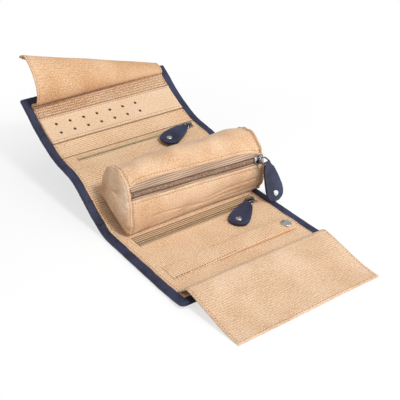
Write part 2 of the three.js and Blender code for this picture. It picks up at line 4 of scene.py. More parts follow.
import bpy
import numpy as np
from mathutils import Matrix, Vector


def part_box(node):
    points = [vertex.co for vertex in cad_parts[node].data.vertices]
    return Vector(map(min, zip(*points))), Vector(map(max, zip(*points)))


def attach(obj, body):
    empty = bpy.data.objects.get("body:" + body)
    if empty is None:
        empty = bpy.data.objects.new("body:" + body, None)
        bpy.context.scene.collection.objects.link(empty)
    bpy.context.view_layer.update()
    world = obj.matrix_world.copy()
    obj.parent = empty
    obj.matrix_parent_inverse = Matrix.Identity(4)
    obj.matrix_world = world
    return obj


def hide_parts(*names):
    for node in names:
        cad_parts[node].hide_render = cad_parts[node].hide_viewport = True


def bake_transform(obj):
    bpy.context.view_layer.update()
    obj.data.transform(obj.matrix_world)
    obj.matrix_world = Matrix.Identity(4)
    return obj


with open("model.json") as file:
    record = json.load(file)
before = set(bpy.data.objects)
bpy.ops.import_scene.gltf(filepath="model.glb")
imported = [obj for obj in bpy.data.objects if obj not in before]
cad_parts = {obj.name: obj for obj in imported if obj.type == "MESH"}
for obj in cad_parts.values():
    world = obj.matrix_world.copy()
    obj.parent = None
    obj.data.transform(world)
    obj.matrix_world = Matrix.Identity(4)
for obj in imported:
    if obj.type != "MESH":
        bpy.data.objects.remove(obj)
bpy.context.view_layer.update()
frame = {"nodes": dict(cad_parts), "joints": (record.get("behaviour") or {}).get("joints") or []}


# The navy outer shell: one long sheet of coated leather under everything, with its edge turned over
# onto the inside as a border. It bends softly at three folds, and each of its pieces spans one.
mm = 0.001
half_width, border, sheet_thickness = 100 * mm, 9 * mm, 4.3 * mm
front_edge, back_edge = -127 * mm, 197 * mm
front_fold, back_fold, upper_fold = -4 * mm, 59 * mm, 125 * mm
cut_middle, cut_back = 28 * mm, 92 * mm
# The sheet's line seen from the side: y in millimetres, and the share of its climb reached there.
climb = 85 * mm
line_places = np.array(
    [
        [-127, 0.034], [-110, 0.01], [-91, 0], [14, 0], [22, 0.035], [30, 0.085], [42, 0.155],
        [59, 0.29], [74, 0.4], [84, 0.4435], [97, 0.465], [112, 0.4835], [125, 0.515], [146, 0.62],
        [165, 0.738], [182, 0.885], [197, 1],
    ]
)
line_y, line_z = line_places[:, 0] * mm, line_places[:, 1] * climb
# The line runs on past its ends at these slopes, and a Gaussian of this softness rounds its corners.
slope_before, slope_after = 0.12, 0.65
step, softness, softness_steps = 0.5 * mm, 4 * mm, 24
fine_y = np.arange(-0.16, 0.24, step)
run_before = slope_before * np.maximum(line_y[0] - fine_y, 0)
run_after = slope_after * np.maximum(fine_y - line_y[-1], 0)
kernel_y = np.arange(-softness_steps, softness_steps + 1) * step
kernel = np.exp(-((kernel_y / softness) ** 2) / 2)
fine_z = np.interp(fine_y, line_y, line_z) + run_before + run_after
fine_z = np.pad(fine_z, softness_steps, mode="edge")
fine_z = np.convolve(fine_z, kernel / kernel.sum(), mode="valid") + sheet_thickness
fine_slope = np.arctan(np.gradient(fine_z, step))


def on_sheet(x, y, rise):
    """Points of the sheet: its inner face at (x, y), moved by rise along the local normal."""
    x, y, rise = np.broadcast_arrays(x, y, rise)
    slope = np.interp(y, fine_y, fine_slope)
    z = np.interp(y, fine_y, fine_z)
    return np.stack([x, y - np.sin(slope) * rise, z + np.cos(slope) * rise], -1)


def sheet_normal(x, y):
    """The sheet's unit normal at (x, y)."""
    return on_sheet(x, y, 1) - on_sheet(x, y, 0)


def new_piece(name, points, faces, material, uv=None):
    """A mesh object at the origin, smooth shaded, with an optional uv in metres for each point.

    Its faces are a list of index arrays, and the faces in one array have the same number of points.
    """
    mesh = bpy.data.meshes.new(name)
    face_list = [face for block in faces for face in block.tolist()]
    mesh.from_pydata(np.asarray(points).reshape(-1, 3).tolist(), [], face_list)
    if uv is not None:
        layer = mesh.uv_layers.new(name="cloth")
        loops = np.empty(len(mesh.loops), dtype=np.int32)
        mesh.loops.foreach_get("vertex_index", loops)
        layer.data.foreach_set("uv", np.asarray(uv, np.float32).reshape(-1, 2)[loops].ravel())
    mesh.polygons.foreach_set("use_smooth", np.ones(len(mesh.polygons), dtype=bool))
    mesh.materials.append(material)
    mesh.update()
    piece = bpy.data.objects.new(name, mesh)
    bpy.context.collection.objects.link(piece)
    return piece


def grid_faces(rows, columns, around=False, looped=False):
    """Quads of a grid; around closes each row on itself, looped joins the last row to the first."""
    i = np.arange(rows if looped else rows - 1)[:, None]
    j = np.arange(columns if around else columns - 1)[None]
    below, ahead = (i + 1) % rows, (j + 1) % columns
    corners = [i * columns + j, i * columns + ahead, below * columns + ahead, below * columns + j]
    return np.stack(corners, -1).reshape(-1, 4)


def turned(faces):
    """The same faces, looking the other way."""
    return [block[:, ::-1] for block in faces]


def capped(rings, ends=None):
    """Rings of points joined in their order, closed by a fan about a point at each end.

    The two end points are the middles of the first and last ring, if none are given.
    """
    rows, count = rings.shape[:2]
    ends = rings[[0, -1]].mean(1) if ends is None else ends
    here = np.arange(count)
    ahead = (here + 1) % count
    last, tip = (rows - 1) * count, rows * count
    first_fan = np.stack([ahead, here, np.full(count, tip)], -1)
    last_fan = np.stack([last + here, last + ahead, np.full(count, tip + 1)], -1)
    faces = [grid_faces(rows, count, True), first_fan, last_fan]
    return np.concatenate([rings.reshape(-1, 3), ends]), faces


def swept(section, path, across, upward):
    """A profile carried along a path: each ring is path + u across + v upward."""
    return path[:, None] + section[:, :1] * across[:, None] + section[:, 1:] * upward[:, None]


def rounded(half_u, half_v, count=28, power=0.45):
    """A rounded rectangle about the origin: cos and sin of the angle, each raised to a power."""
    angle = np.arange(count) / count * 2 * np.pi
    c, s = np.cos(angle), np.sin(angle)
    u, v = np.sign(c) * np.abs(c) ** power, np.sign(s) * np.abs(s) ** power
    return np.stack([half_u * u, half_v * v], -1)


def simple_material(name, colour, roughness, metallic=0.0):
    """A Principled material, its tree and its shader, to which colour and grain are then added."""
    made = bpy.data.materials.new(name)
    made.use_nodes = True
    shader = made.node_tree.nodes["Principled BSDF"]
    shader.inputs["Base Color"].default_value = (*colour, 1)
    shader.inputs["Roughness"].default_value = roughness
    shader.inputs["Metallic"].default_value = metallic
    return made, made.node_tree, shader


def add_node(tree, kind, values=(), links=()):
    """One node with its input values set by name or number and its inputs linked."""
    node = tree.nodes.new(kind)
    for key, value in values:
        node.inputs[key].default_value = value
    for key, socket in links:
        tree.links.new(socket, node.inputs[key])
    return node


def own_place(tree):
    """The object's own coordinates."""
    return add_node(tree, "ShaderNodeTexCoord").outputs["Object"]


def noise(tree, place, scale, detail=2):
    """The value of a noise at a place."""
    values = [("Scale", scale), ("Detail", detail)]
    return add_node(tree, "ShaderNodeTexNoise", values, [("Vector", place)]).outputs["Fac"]


def set_colour(tree, shader, factor, steps):
    """Base colour from a ramp over factor, with steps as a list of (place, linear colour)."""
    ramp = add_node(tree, "ShaderNodeValToRGB", links=[("Fac", factor)])
    points = ramp.color_ramp.elements
    for place, _ in steps[2:]:
        points.new(place)
    for point, (place, colour) in zip(points, steps):
        point.position = place
        point.color = (*colour, 1)
    tree.links.new(ramp.outputs["Color"], shader.inputs["Base Color"])


def set_gloss(tree, shader, factor, low, high):
    """Roughness that drifts from low to high with factor."""
    values = [("To Min", low), ("To Max", high)]
    drift = add_node(tree, "ShaderNodeMapRange", values, [("Value", factor)])
    tree.links.new(drift.outputs["Result"], shader.inputs["Roughness"])


def set_grain(tree, shader, height, strength, depth):
    """Bump from a height, with a strength and a depth in metres."""
    values = [("Strength", strength), ("Distance", depth)]
    bump = add_node(tree, "ShaderNodeBump", values, [("Height", height)])
    tree.links.new(bump.outputs["Normal"], shader.inputs["Normal"])


navy, navy_tree, navy_shader = simple_material("navy_leather", (0.018, 0.022, 0.06), 0.5)
navy_place = own_place(navy_tree)
navy_steps = [(0.3, (0.007, 0.009, 0.027)), (0.72, (0.036, 0.043, 0.105))]
pores = add_node(navy_tree, "ShaderNodeTexVoronoi", [("Scale", 900)], [("Vector", navy_place)])
set_colour(navy_tree, navy_shader, noise(navy_tree, navy_place, 60, 5), navy_steps)
set_gloss(navy_tree, navy_shader, noise(navy_tree, navy_place, 700, 3), 0.48, 0.74)
set_grain(navy_tree, navy_shader, pores.outputs["Distance"], 0.5, 0.4 * mm)

binding_proud = 0.5 * mm
binding_section = rounded(border / 2, (sheet_thickness + binding_proud) / 2)
binding_middle = -(sheet_thickness - binding_proud) / 2
corner_radius = {-1: 6 * mm, 1: 1.6 * mm}
inner_radius = 0.3 * mm


def binding_path(start, end):
    """The border's outer and inner lines in (x, y): down the left side, along end, up the right.

    The outer corners are arcs. The inner ones are tiny arcs, so that both lines have equal points.
    """
    turn = np.sign(end - start)
    run = np.linspace(start, end - turn * (border + mm), 60)
    side = np.stack([np.full_like(run, half_width), run], -1)
    sweep = np.linspace(0, np.pi / 2, 6)
    arc = np.stack([np.cos(sweep), turn * np.sin(sweep)], -1)
    radius = corner_radius[int(turn)]
    centre = np.array([half_width - radius, end - turn * radius])
    inner_corner = np.array([half_width - border, end - turn * border])
    inner_arc = inner_corner + (arc - [0.7, turn * 0.7]) * inner_radius
    outer_half = np.concatenate([side, centre + arc * radius])
    inner_half = np.concatenate([side - [border, 0], inner_arc])
    along_edge = np.linspace(half_width - border - mm, 0, 40)
    edge = np.stack([along_edge, np.full_like(along_edge, end)], -1)
    outer_half = np.concatenate([outer_half, edge])
    inner_half = np.concatenate([inner_half, edge - [0, turn * border]])
    return [np.concatenate([half * [-1, 1], half[-2::-1]]) for half in (outer_half, inner_half)]


def binding(name, outer, inner):
    """The border's rounded section swept between its outer and inner lines, high along the normal.

    Slow sine waves swell the section by up to 3% and draw the side's inner edge in by under 0.7 mm.
    """
    index = np.arange(len(outer))
    puff = 1 + 0.03 * np.sin(index * 0.9) * np.sin(index * 0.37)
    drawn_in = 0.35 * mm * (1 + np.sin(inner[:, 1] * 210 + 1) * np.sin(inner[:, 1] * 77))
    at_side = np.sign(inner[:, 0]) * (np.abs(inner[:, 0]) > 88 * mm)
    inner = inner - np.stack([at_side * drawn_in, 0 * drawn_in], -1)
    middle = (outer + inner) / 2
    out_points = on_sheet(outer[:, 0], outer[:, 1], binding_middle)
    in_points = on_sheet(inner[:, 0], inner[:, 1], binding_middle)
    across = (out_points - in_points) / border * puff[:, None]
    upward = sheet_normal(middle[:, 0], middle[:, 1])
    rings = swept(binding_section, (out_points + in_points) / 2, across, upward)
    return new_piece(name, *capped(rings), navy)


def straight_binding(name, side, start, end):
    """The border's straight stretch on one side of the middle of the roll."""
    y = np.linspace(start, end, 70)[::-side]
    outer = np.stack([np.full_like(y, side * half_width), y], -1)
    return binding(name, outer, outer - [side * border, 0])


def outer_sheet(name, start, end):
    """The shell's thin sheet under the padding, a flat rounded bar swept along the sheet's line."""
    half_sheet = 0.7 * mm
    y = np.linspace(start, end, 60)
    path = on_sheet(0, y, half_sheet + 0.05 * mm - sheet_thickness)
    across = np.tile([1.0, 0, 0], (len(y), 1))
    section = rounded(half_width - 3 * mm, half_sheet, 60, 0.3)
    points, faces = capped(swept(section, path, across, sheet_normal(0, y)))
    return new_piece(name, points, turned(faces), navy)


def fold_points(y, reach):
    """Two points on the sheet, a reach before and after the fold at y."""
    start, end = on_sheet(0, np.array([y - reach, y + reach]), 0)
    return tuple(start), tuple(end)


sheet_inset, sheet_overlap = 3 * mm, 1.5 * mm
fold_front = fold_points(front_fold, 12 * mm)
fold_back = fold_points(back_fold, 14 * mm)
fold_upper = fold_points(upper_fold, 14 * mm)
shell_front = [
    binding("border_front", *binding_path(cut_middle, front_edge)),
    outer_sheet("outer_sheet_front", front_edge + sheet_inset, cut_middle),
]
shell_back = [
    straight_binding("border_back_left", -1, cut_middle, cut_back),
    straight_binding("border_back_right", 1, cut_middle, cut_back),
    outer_sheet("outer_sheet_back", cut_middle - sheet_overlap, cut_back),
]
shell_upper = [
    binding("border_upper", *binding_path(cut_back, back_edge)),
    outer_sheet("outer_sheet_upper", cut_back - sheet_overlap, back_edge - sheet_inset),
]
for piece in shell_front:
    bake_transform(piece)
for piece in shell_back:
    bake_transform(piece)
for piece in shell_upper:
    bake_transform(piece)
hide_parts("shell_front", "shell_middle", "interlining_front", "interlining_middle")
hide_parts("shell_back", "interlining_back")
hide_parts("shell_upper", "interlining_upper")


# The lining: a tan weave with uneven threads, stretched over the padding inside the border. Its seams
# are pulled down by their stitches, and it is cut open for the two zip pockets. Behind the earring
# strip its cloth is darker: painted shade where the back flap shadows it.
def mixed(tree, first, second, share):
    """Two values mixed, by share towards the second."""
    links = [("A", first), ("B", second)]
    return add_node(tree, "ShaderNodeMix", [("Factor", share)], links).outputs["Result"]


def bands(tree, place, direction, values):
    """The value of a wave whose bands follow each other along one axis."""
    wave = add_node(tree, "ShaderNodeTexWave", values, [("Vector", place)])
    wave.bands_direction = direction
    return wave.outputs["Fac"]


def tan_material(name, ribs, weave, contrast, tint, depth, cloud=0.12):
    """Tan cloth in metres of its uv: threads, flecks, ribs both ways, and slow clouds.

    Threads are two noises drawn out along weft and warp, mixed evenly with a fleck noise. Waves at
    a scale of ribs are mixed in by weave, and a slow noise by cloud. The sum runs through a ramp
    from a shaded to a lit tone about tint, as far apart as contrast says.
    """
    made, tree, shader = simple_material(name, (0.7, 0.48, 0.3), 0.85)
    flat = add_node(tree, "ShaderNodeUVMap")
    flat.uv_map = "cloth"
    place = flat.outputs["UV"]
    threads = []
    for scale in ((260, 1500, 1), (1500, 300, 1)):
        drawn_out = add_node(tree, "ShaderNodeMapping", [("Scale", scale)], [("Vector", place)])
        threads.append(noise(tree, drawn_out.outputs[0], 1))
    ribbing = []
    for direction, count in (("X", ribs), ("Y", ribs * 0.8)):
        values = [("Scale", count), ("Distortion", 0.5), ("Detail", 1), ("Detail Scale", 300)]
        ribbing.append(bands(tree, place, direction, values))
    flecked = mixed(tree, mixed(tree, *threads, 0.5), noise(tree, place, 800, 1), 0.5)
    ribbed = mixed(tree, flecked, mixed(tree, *ribbing, 0.5), weave)
    whole = mixed(tree, ribbed, noise(tree, place, 26, 5), cloud)
    middle, spread = np.array(tint), 0.5 * contrast
    shaded = middle * (1 - spread * np.array([0.55, 0.8, 1.0]))
    lit = middle + spread * (np.array([0.98, 0.86, 0.7]) - middle) * 0.8
    set_colour(tree, shader, whole, [(0.41, shaded), (0.5, middle), (0.59, lit)])
    set_grain(tree, shader, ribbed, 0.8, depth)
    shader.inputs["Sheen Weight"].default_value = 0.15
    shader.inputs["Sheen Roughness"].default_value = 0.5
    return made


woven_cloth = tan_material(
    "tan_weave", ribs=170, weave=0.25, contrast=1.3, tint=(0.75, 0.49, 0.28), depth=0.5 * mm
)
# A darker copy of the lining's weave: painted shade for where the back flap shadows the lining.
flap_shadow_cloth = tan_material(
    "tan_painted_flap_shadow", ribs=150, weave=0.16, contrast=1.4, tint=(0.52, 0.305, 0.16), depth=0.4 * mm
)
lining_half = half_width - border + 0.6 * mm
lining_end = border - 0.6 * mm
lining_columns, lining_cell, lining_depth = 246, 0.75 * mm, 2.5 * mm
zip_y = {"back": 108.5 * mm, "front": -17.2 * mm}
zip_near = {"back": 3.9 * mm, "front": 6.6 * mm}
zip_far = {"back": 4.3 * mm, "front": 13.2 * mm}
zip_left = {"back": -76 * mm, "front": -78.5 * mm}
zip_right = 84 * mm
zip_crease, strip_edge = 117 * mm, 139.4 * mm
slot_depth, slot_lip = 0.9 * mm, 0.3 * mm


def ease(value, low, high):
    """Zero below low, one above high, and a smooth step between."""
    t = np.clip((value - low) / (high - low), 0, 1)
    return t * t * (3 - 2 * t)


def hill(distance, width, height):
    """A soft hill of a width and height about zero distance."""
    return height * np.exp(-((distance / width) ** 2))


def lining_relief(x, y):
    """The lining's height over its plain face: slow waves of padding, seam valleys, two zip slots.

    Beside the border it swells to a welt and then dips under the border's edge.
    """
    relief = 0.245 * mm * np.sin(x * 61 + 1.3) * np.sin(y * 83 + x * 17)
    relief = relief + 0.14 * mm * np.sin(y * 190 + x * 33)
    for y_seam in (front_fold + 1 * mm, back_fold, upper_fold):
        relief = relief - hill(y - y_seam, 2 * mm, 0.35 * mm)
    relief = relief - hill(y - zip_crease, 0.8 * mm, 0.5 * mm)
    relief = relief - hill(y - strip_edge, 0.9 * mm, 0.8 * mm)
    for part in ("back", "front"):
        half = (zip_near[part] + zip_far[part]) / 2
        off_middle = np.abs(y - zip_y[part] - (zip_far[part] - zip_near[part]) / 2)
        inside_x = ease(x, zip_left[part] - 1 * mm, zip_left[part])
        inside_x = inside_x * (1 - ease(x, zip_right, zip_right + 1 * mm))
        inside = inside_x * (1 - ease(off_middle, half - 0.7 * mm, half))
        lip = hill(off_middle - half - 0.7 * mm, 0.8 * mm, slot_lip)
        relief = relief * (1 - inside) - slot_depth * inside + inside_x * lip
    edge = np.minimum(half_width - border - np.abs(x), 20 * mm)
    welt = hill(edge - 2 * mm, 1.2 * mm, 0.45 * mm)
    return relief + welt - 0.5 * mm * (1 - ease(edge, -1 * mm, 2 * mm))


def closed_slab(top, bottom):
    """A closed mesh between two grids of points of one size, joined round their rims."""
    rows, columns = top.shape[:2]
    upper = grid_faces(rows, columns)
    rim = np.concatenate(
        [
            np.arange(columns),
            np.arange(1, rows) * columns + columns - 1,
            (rows - 1) * columns + np.arange(columns - 2, -1, -1),
            np.arange(rows - 2, 0, -1) * columns,
        ]
    )
    ahead = np.roll(rim, -1)
    side = np.stack([ahead, rim, rim + rows * columns, ahead + rows * columns], -1)
    points = np.concatenate([top.reshape(-1, 3), bottom.reshape(-1, 3)])
    return points, [upper, upper[:, ::-1] + rows * columns, side]


def lining_piece(name, start, end):
    """A stretch of the lining, as a grid on the sheet with its relief on top."""
    rows = len(np.arange(start, end + step, lining_cell))
    x, y = np.linspace(-lining_half, lining_half, lining_columns), np.linspace(start, end, rows)
    x, y = np.meshgrid(x, y)
    points, faces = closed_slab(on_sheet(x, y, lining_relief(x, y)), on_sheet(x, y, -lining_depth))
    uv = np.stack([x, y], -1)
    return new_piece(name, points, faces, woven_cloth, np.concatenate([uv, uv]))


lining_front = lining_piece("lining_cloth_front", front_edge + lining_end, cut_middle)
lining_back = lining_piece("lining_cloth_back", cut_middle, cut_back)
lining_upper = lining_piece("lining_cloth_upper", cut_back, back_edge - lining_end)
# Upper lining faces past this line take the darker copy: painted shadow of the back flap.
shade_start = strip_edge + 32 * mm
face_middles = np.empty(3 * len(lining_upper.data.polygons))
lining_upper.data.polygons.foreach_get("center", face_middles)
in_shade = (face_middles[1::3] > shade_start).astype(np.int32)
lining_upper.data.materials.append(flap_shadow_cloth)
lining_upper.data.polygons.foreach_set("material_index", in_shade)
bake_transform(lining_front)
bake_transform(lining_back)
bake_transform(lining_upper)
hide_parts("lining_front", "lining_middle")
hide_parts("lining_back")
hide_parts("lining_upper")


# The stitches: short lengths of waxed tan thread that dip into the cloth at both ends, set in rows.
# These rows hold the lining down along both sides, and one more crosses it above the back zip.
def clouded(name, dark, light, roughness, scale):
    """A plain finish whose colour drifts from dark to light by a fine noise on its own place."""
    made, tree, shader = simple_material(name, light, roughness)
    steps = [(0.35, dark), (0.65, light)]
    set_colour(tree, shader, noise(tree, own_place(tree), scale), steps)
    return made


thread = clouded("tan_thread", (0.20, 0.105, 0.05), (0.42, 0.26, 0.14), 0.6, 2500)


def unit(vectors):
    """The same directions at length one."""
    return vectors / np.linalg.norm(vectors, axis=-1, keepdims=True)


def set_out(line, normals, pitch, start, spare, reach):
    """Places at a pitch along a line, and the unit ways ahead and out there.

    They begin at start and stop spare before the line's end. The way ahead is the chord over a
    reach both ways.
    """
    run = np.concatenate([[0], np.cumsum(np.linalg.norm(np.diff(line, axis=0), axis=1))])
    centres = np.arange(start, run[-1] - spare, pitch)

    def at(places, values):
        """Values between the line's points, at places along its run."""
        return np.stack([np.interp(places, run, values[:, k]) for k in range(3)], -1)

    ahead = at(centres + reach, line) - at(centres - reach, line)
    return at(centres, line), unit(ahead), unit(at(centres, normals))


def repeated(places, directions, shape, block):
    """One small mesh at every place: its points are shape's three parts along three directions."""
    points = places[:, None, None]
    for part, direction in zip(shape, directions):
        points = points + direction[:, None, None] * part[None, ..., None]
    starts = np.arange(len(places)) * shape[0].size
    return points.reshape(-1, 3), [(block[None] + starts[:, None, None]).reshape(-1, 4)]


def joined(parts):
    """Several meshes, each as its points and faces, made one."""
    starts = np.cumsum([0] + [len(points) for points, _ in parts])
    faces = [block + start for (_, blocks), start in zip(parts, starts) for block in blocks]
    return np.concatenate([points for points, _ in parts]), faces


def stitches(
    name, lines, material=thread, offset=0.0, length=2.2 * mm, pitch=3.4 * mm, radius=0.36 * mm
):
    """Rows of stitches along each (line, normals): five rings of six, thin and low at both ends."""
    ring = np.arange(6) / 6 * 2 * np.pi
    along = np.array([-0.5, -0.42, 0, 0.42, 0.5])[:, None]
    thick = np.array([0.15, 0.8, 1, 0.8, 0.15])[:, None]
    dip = np.array([-1.0, -0.1, 0.35, -0.1, -1.0])[:, None]
    out = radius * (thick * np.sin(ring) + dip) + offset
    shape = (radius * thick * np.cos(ring), out, length * along + 0 * ring)
    ends = np.array([[5, 4, 3, 2], [5, 2, 1, 0], [24, 25, 26, 27], [24, 27, 28, 29]])
    block = np.concatenate([grid_faces(5, 6, True), ends])[:, ::-1]
    rows = []
    for line, normals in lines:
        places, ahead, normal = set_out(line, normals, pitch, pitch / 2, pitch / 3, 0.3 * length)
        rows.append(repeated(places, (np.cross(ahead, normal), normal, ahead), shape, block))
    return new_piece(name, *joined(rows), material)


def lining_line(x0, x1, y0, y1):
    """A straight seam on the lining between two places, with the sheet's normals."""
    x, y = np.linspace(x0, x1, 120), np.linspace(y0, y1, 120)
    return on_sheet(x, y, lining_relief(x, y)), sheet_normal(x, y)


seam_x = half_width - border - 2.2 * mm
seam_gap = 2 * mm
side_seams = {
    "front": (front_edge + 13 * mm, front_fold - seam_gap),
    "middle": (front_fold + seam_gap, back_fold - seam_gap),
    "back": (back_fold + seam_gap, upper_fold - seam_gap),
    "upper": (upper_fold + seam_gap, back_edge - 12 * mm),
}
for body, (start, end) in side_seams.items():
    rows = [lining_line(side * seam_x, side * seam_x, start, end) for side in (-1, 1)]
    piece = stitches("seams_" + body, rows)
    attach(piece, body)
crease_left, crease_right = zip_left["back"] - 6 * mm, zip_right + 4 * mm
crease_seam = stitches(
    "seams_crease", [lining_line(crease_left, crease_right, zip_crease, zip_crease)]
)
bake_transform(crease_seam)


# The zips of the two pockets: on each side a woven tape, ribbed along its length, and between them a
# nylon coil with the dark cord that it is sewn on with. They lie in the lining's slots.
def tape_material(name, dark, light, ribs, direction):
    """Woven tape: lines along it from a wave on one of the object's axes, over a fine noise."""
    made, tree, shader = simple_material(name, light, 0.8)
    place = own_place(tree)
    lines = bands(tree, place, direction, [("Scale", ribs), ("Distortion", 0.6)])
    weave = mixed(tree, lines, noise(tree, place, 1800, 3), 0.5)
    set_colour(tree, shader, weave, [(0.3, dark), (0.7, light)])
    set_grain(tree, shader, weave, 0.6, 0.4 * mm)
    return made


olive_tape = tape_material("olive_tape", (0.36, 0.26, 0.14), (0.72, 0.56, 0.34), 120, "Y")
brown_tape = tape_material("brown_tape", (0.22, 0.135, 0.07), (0.64, 0.45, 0.275), 105, "Y")
tan_coil = clouded("tan_coil", (0.40, 0.30, 0.165), (0.72, 0.55, 0.33), 0.45, 500)
cord_brown = clouded("cord_brown", (0.09, 0.04, 0.018), (0.19, 0.09, 0.045), 0.45, 500)


def coil_points(path, normals, pitch=1.25 * mm, reach=1.15 * mm, radius=0.42 * mm):
    """The two rows of a coil, half a pitch apart: each turn is an ellipsoid across the line."""
    polar = np.linspace(0.12, np.pi - 0.12, 5)[:, None]
    ring = np.arange(8) / 8 * 2 * np.pi
    round_u, round_v = np.sin(polar) * np.cos(ring), np.sin(polar) * np.sin(ring)
    shape = (reach * (0.45 - 0.62 * np.cos(polar)) + 0 * ring, radius * round_u, radius * round_v)
    ends = [[3, 2, 1, 0], [7, 4, 3, 0], [7, 6, 5, 4]]
    ends = ends + [[32, 33, 34, 35], [32, 35, 36, 39], [36, 37, 38, 39]]
    block = np.concatenate([grid_faces(5, 8, True), np.array(ends)])
    rows = []
    for side, start in ((-1, 0.5 * pitch), (1, pitch)):
        places, ahead, normal = set_out(path, normals, pitch, start, pitch / 2, pitch)
        directions = (np.cross(normal, ahead) * side, ahead, normal)
        rows.append(repeated(places, directions, shape, block[:, ::side]))
    return joined(rows)


def cords(lines, offsets, radius, sink):
    """Round cords along each (line, normals), at offsets to its side and sunk below it."""
    section = rounded(radius, radius, 8, 1.0)
    parts = []
    for line, normals in lines:
        side = np.cross(normals, unit(np.gradient(line, axis=0)))
        for offset in offsets:
            path = line + side * offset - normals * sink
            points, faces = capped(swept(section, path, side, normals))
            parts.append((points, turned(faces)))
    return joined(parts)


zip_inset, tape_start = 0.4 * mm, 1.1 * mm
tape_top, tape_bottom, rib_height, rib_pitch = -0.2 * mm, -0.85 * mm, 0.06 * mm, 2.2 * mm
cord_sizes = {"back": ((-1.5 * mm,), 0.28 * mm), "front": ((-1.9 * mm, 1.7 * mm), 0.4 * mm)}
for part, tape, tape_slot in (
    ("back", olive_tape, "olive_tape"),
    ("front", brown_tape, "brown_tape"),
):
    x = np.linspace(zip_left[part] + zip_inset, zip_right - zip_inset, 160)
    for side, label, reach in ((-1, "near", zip_near[part]), (1, "far", zip_far[part])):
        across = side * np.linspace(tape_start, reach - zip_inset, 14)[::side]
        gx, gy = np.meshgrid(x, zip_y[part] + across)
        rib = rib_height * np.sin((gy - zip_y[part]) * 2 * np.pi / rib_pitch)
        slab = closed_slab(on_sheet(gx, gy, tape_top + rib), on_sheet(gx, gy, tape_bottom))
        piece = new_piece(f"pocket_tape_{part}_{label}", *slab, tape)
        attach(piece, part)
        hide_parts(f"zip_tape_{part}_{label}")
    centre, normals = on_sheet(x, zip_y[part], -0.05 * mm), sheet_normal(x, zip_y[part])
    coil = new_piece(f"pocket_coil_{part}", *coil_points(centre, normals), tan_coil)
    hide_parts(f"zip_coil_{part}")
    offsets, radius = cord_sizes[part]
    sewn_cords = cords([(centre, normals)], offsets, radius, 0.1 * mm)
    for piece in (coil, new_piece(f"pocket_cords_{part}", *sewn_cords, cord_brown)):
        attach(piece, part)


# The earring strip: a stiff board covered in brushed suede cloth, sewn to the lining along both long
# edges, with two rows of punched holes. A thin cord in the seam outside each edge paints the shade
# line there, a near-black sheet inside the strip paints the shade in the holes, and one more cord
# lies in the lining's seam above the back zip.
brushed_cloth = tan_material(
    "tan_brushed", ribs=170, weave=0.05, contrast=0.6, tint=(0.745, 0.525, 0.345), depth=0.3 * mm
)
# Near-black: painted shade for inside the strip's holes.
hole_shade_dark = clouded("hole_shade_dark", (0.03, 0.017, 0.01), (0.09, 0.05, 0.03), 0.9, 900)
strip_half = half_width - border - 0.6 * mm
strip_front, strip_back = 140 * mm, 172 * mm
strip_rise, strip_edge_drop = 1.75 * mm, 1.1 * mm
hole_radius, hole_pitch, hole_first, hole_columns = 1.9 * mm, 18 * mm, -74 * mm, 7
hole_rows = (150.5 * mm, 161.7 * mm)
gx, gy = np.meshgrid(
    np.linspace(-strip_half, strip_half, 200), np.linspace(strip_front, strip_back, 44)
)
rim = np.minimum(np.minimum(strip_half - np.abs(gx), gy - strip_front), strip_back - gy)
swell = strip_rise - strip_edge_drop * (1 - ease(rim, -0.3 * mm, 1.6 * mm))
swell = swell + 0.12 * mm * np.sin(gx * 90) * np.sin(gy * 140)
strip_slab = closed_slab(on_sheet(gx, gy, swell), on_sheet(gx, gy, 0.15 * mm))
uv = np.stack([gx, gy + 0.3], -1)
earring_strip = new_piece(
    "earring_strip_cloth", *strip_slab, brushed_cloth, np.concatenate([uv, uv])
)
round_section = rounded(hole_radius, hole_radius, 20, 1.0)
pins = []
for y in hole_rows:
    for x in hole_first + np.arange(hole_columns) * hole_pitch:
        path = on_sheet(x, y, np.array([-1 * mm, 4 * mm]))
        right = np.tile([1.0, 0, 0], (2, 1))
        pins.append(capped(swept(round_section, path, right, np.cross(sheet_normal(x, y), right))))
punch = new_piece("punch", *joined(pins), brushed_cloth)
holes = earring_strip.modifiers.new("holes", "BOOLEAN")
holes.operation, holes.object, holes.solver = "DIFFERENCE", punch, "EXACT"
evaluated_strip = earring_strip.evaluated_get(bpy.context.evaluated_depsgraph_get())
punched = bpy.data.meshes.new_from_object(evaluated_strip)
earring_strip.modifiers.clear()
earring_strip.data = punched
bpy.data.objects.remove(punch)
# A dark sheet within the strip, seen only through its holes, to paint the shade in them.
gx, gy = np.meshgrid(
    np.linspace(-strip_half + 8 * mm, strip_half - 8 * mm, 40), np.linspace(146 * mm, 166 * mm, 12)
)
hole_shade_slab = closed_slab(on_sheet(gx, gy, 0.7 * mm), on_sheet(gx, gy, 0.3 * mm))
hole_shade_board = new_piece("strip_hole_shade_board", *hole_shade_slab, hole_shade_dark)
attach(hole_shade_board, "upper")
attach(earring_strip, "upper")
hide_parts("earring_strip")


def strip_line(y, inset, rise):
    """A line across the strip at y, with the sheet's normals."""
    x = np.linspace(inset - strip_half, strip_half - inset, 120)
    return on_sheet(x, y, rise), sheet_normal(x, y)


seam_inset, edge_cord, edge_cord_rise = 2.2 * mm, 0.4 * mm, 0.25 * mm
strip_rows = [
    strip_line(y, 1 * mm, 1.85 * mm) for y in (strip_front + seam_inset, strip_back - seam_inset)
]
# Thread cords just outside the strip's long edges paint the shade lines along them.
edge_shade_lines = [
    strip_line(y, 0, edge_cord_rise) for y in (strip_front - 0.5 * mm, strip_back + 0.4 * mm)
]
crease_lines = [strip_line(zip_crease, 0, edge_cord_rise)]
strip_stitches = stitches("seams_strip", strip_rows, offset=-0.05 * mm)
strip_edge_shades = new_piece("strip_edge_shade_cords", *cords(edge_shade_lines, (0.0,), edge_cord, 0), thread)
crease_cord = new_piece("crease_cord", *cords(crease_lines, (0.0,), edge_cord, 0), thread)
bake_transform(crease_cord)
for piece in (strip_edge_shades, strip_stitches):
    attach(piece, "upper")


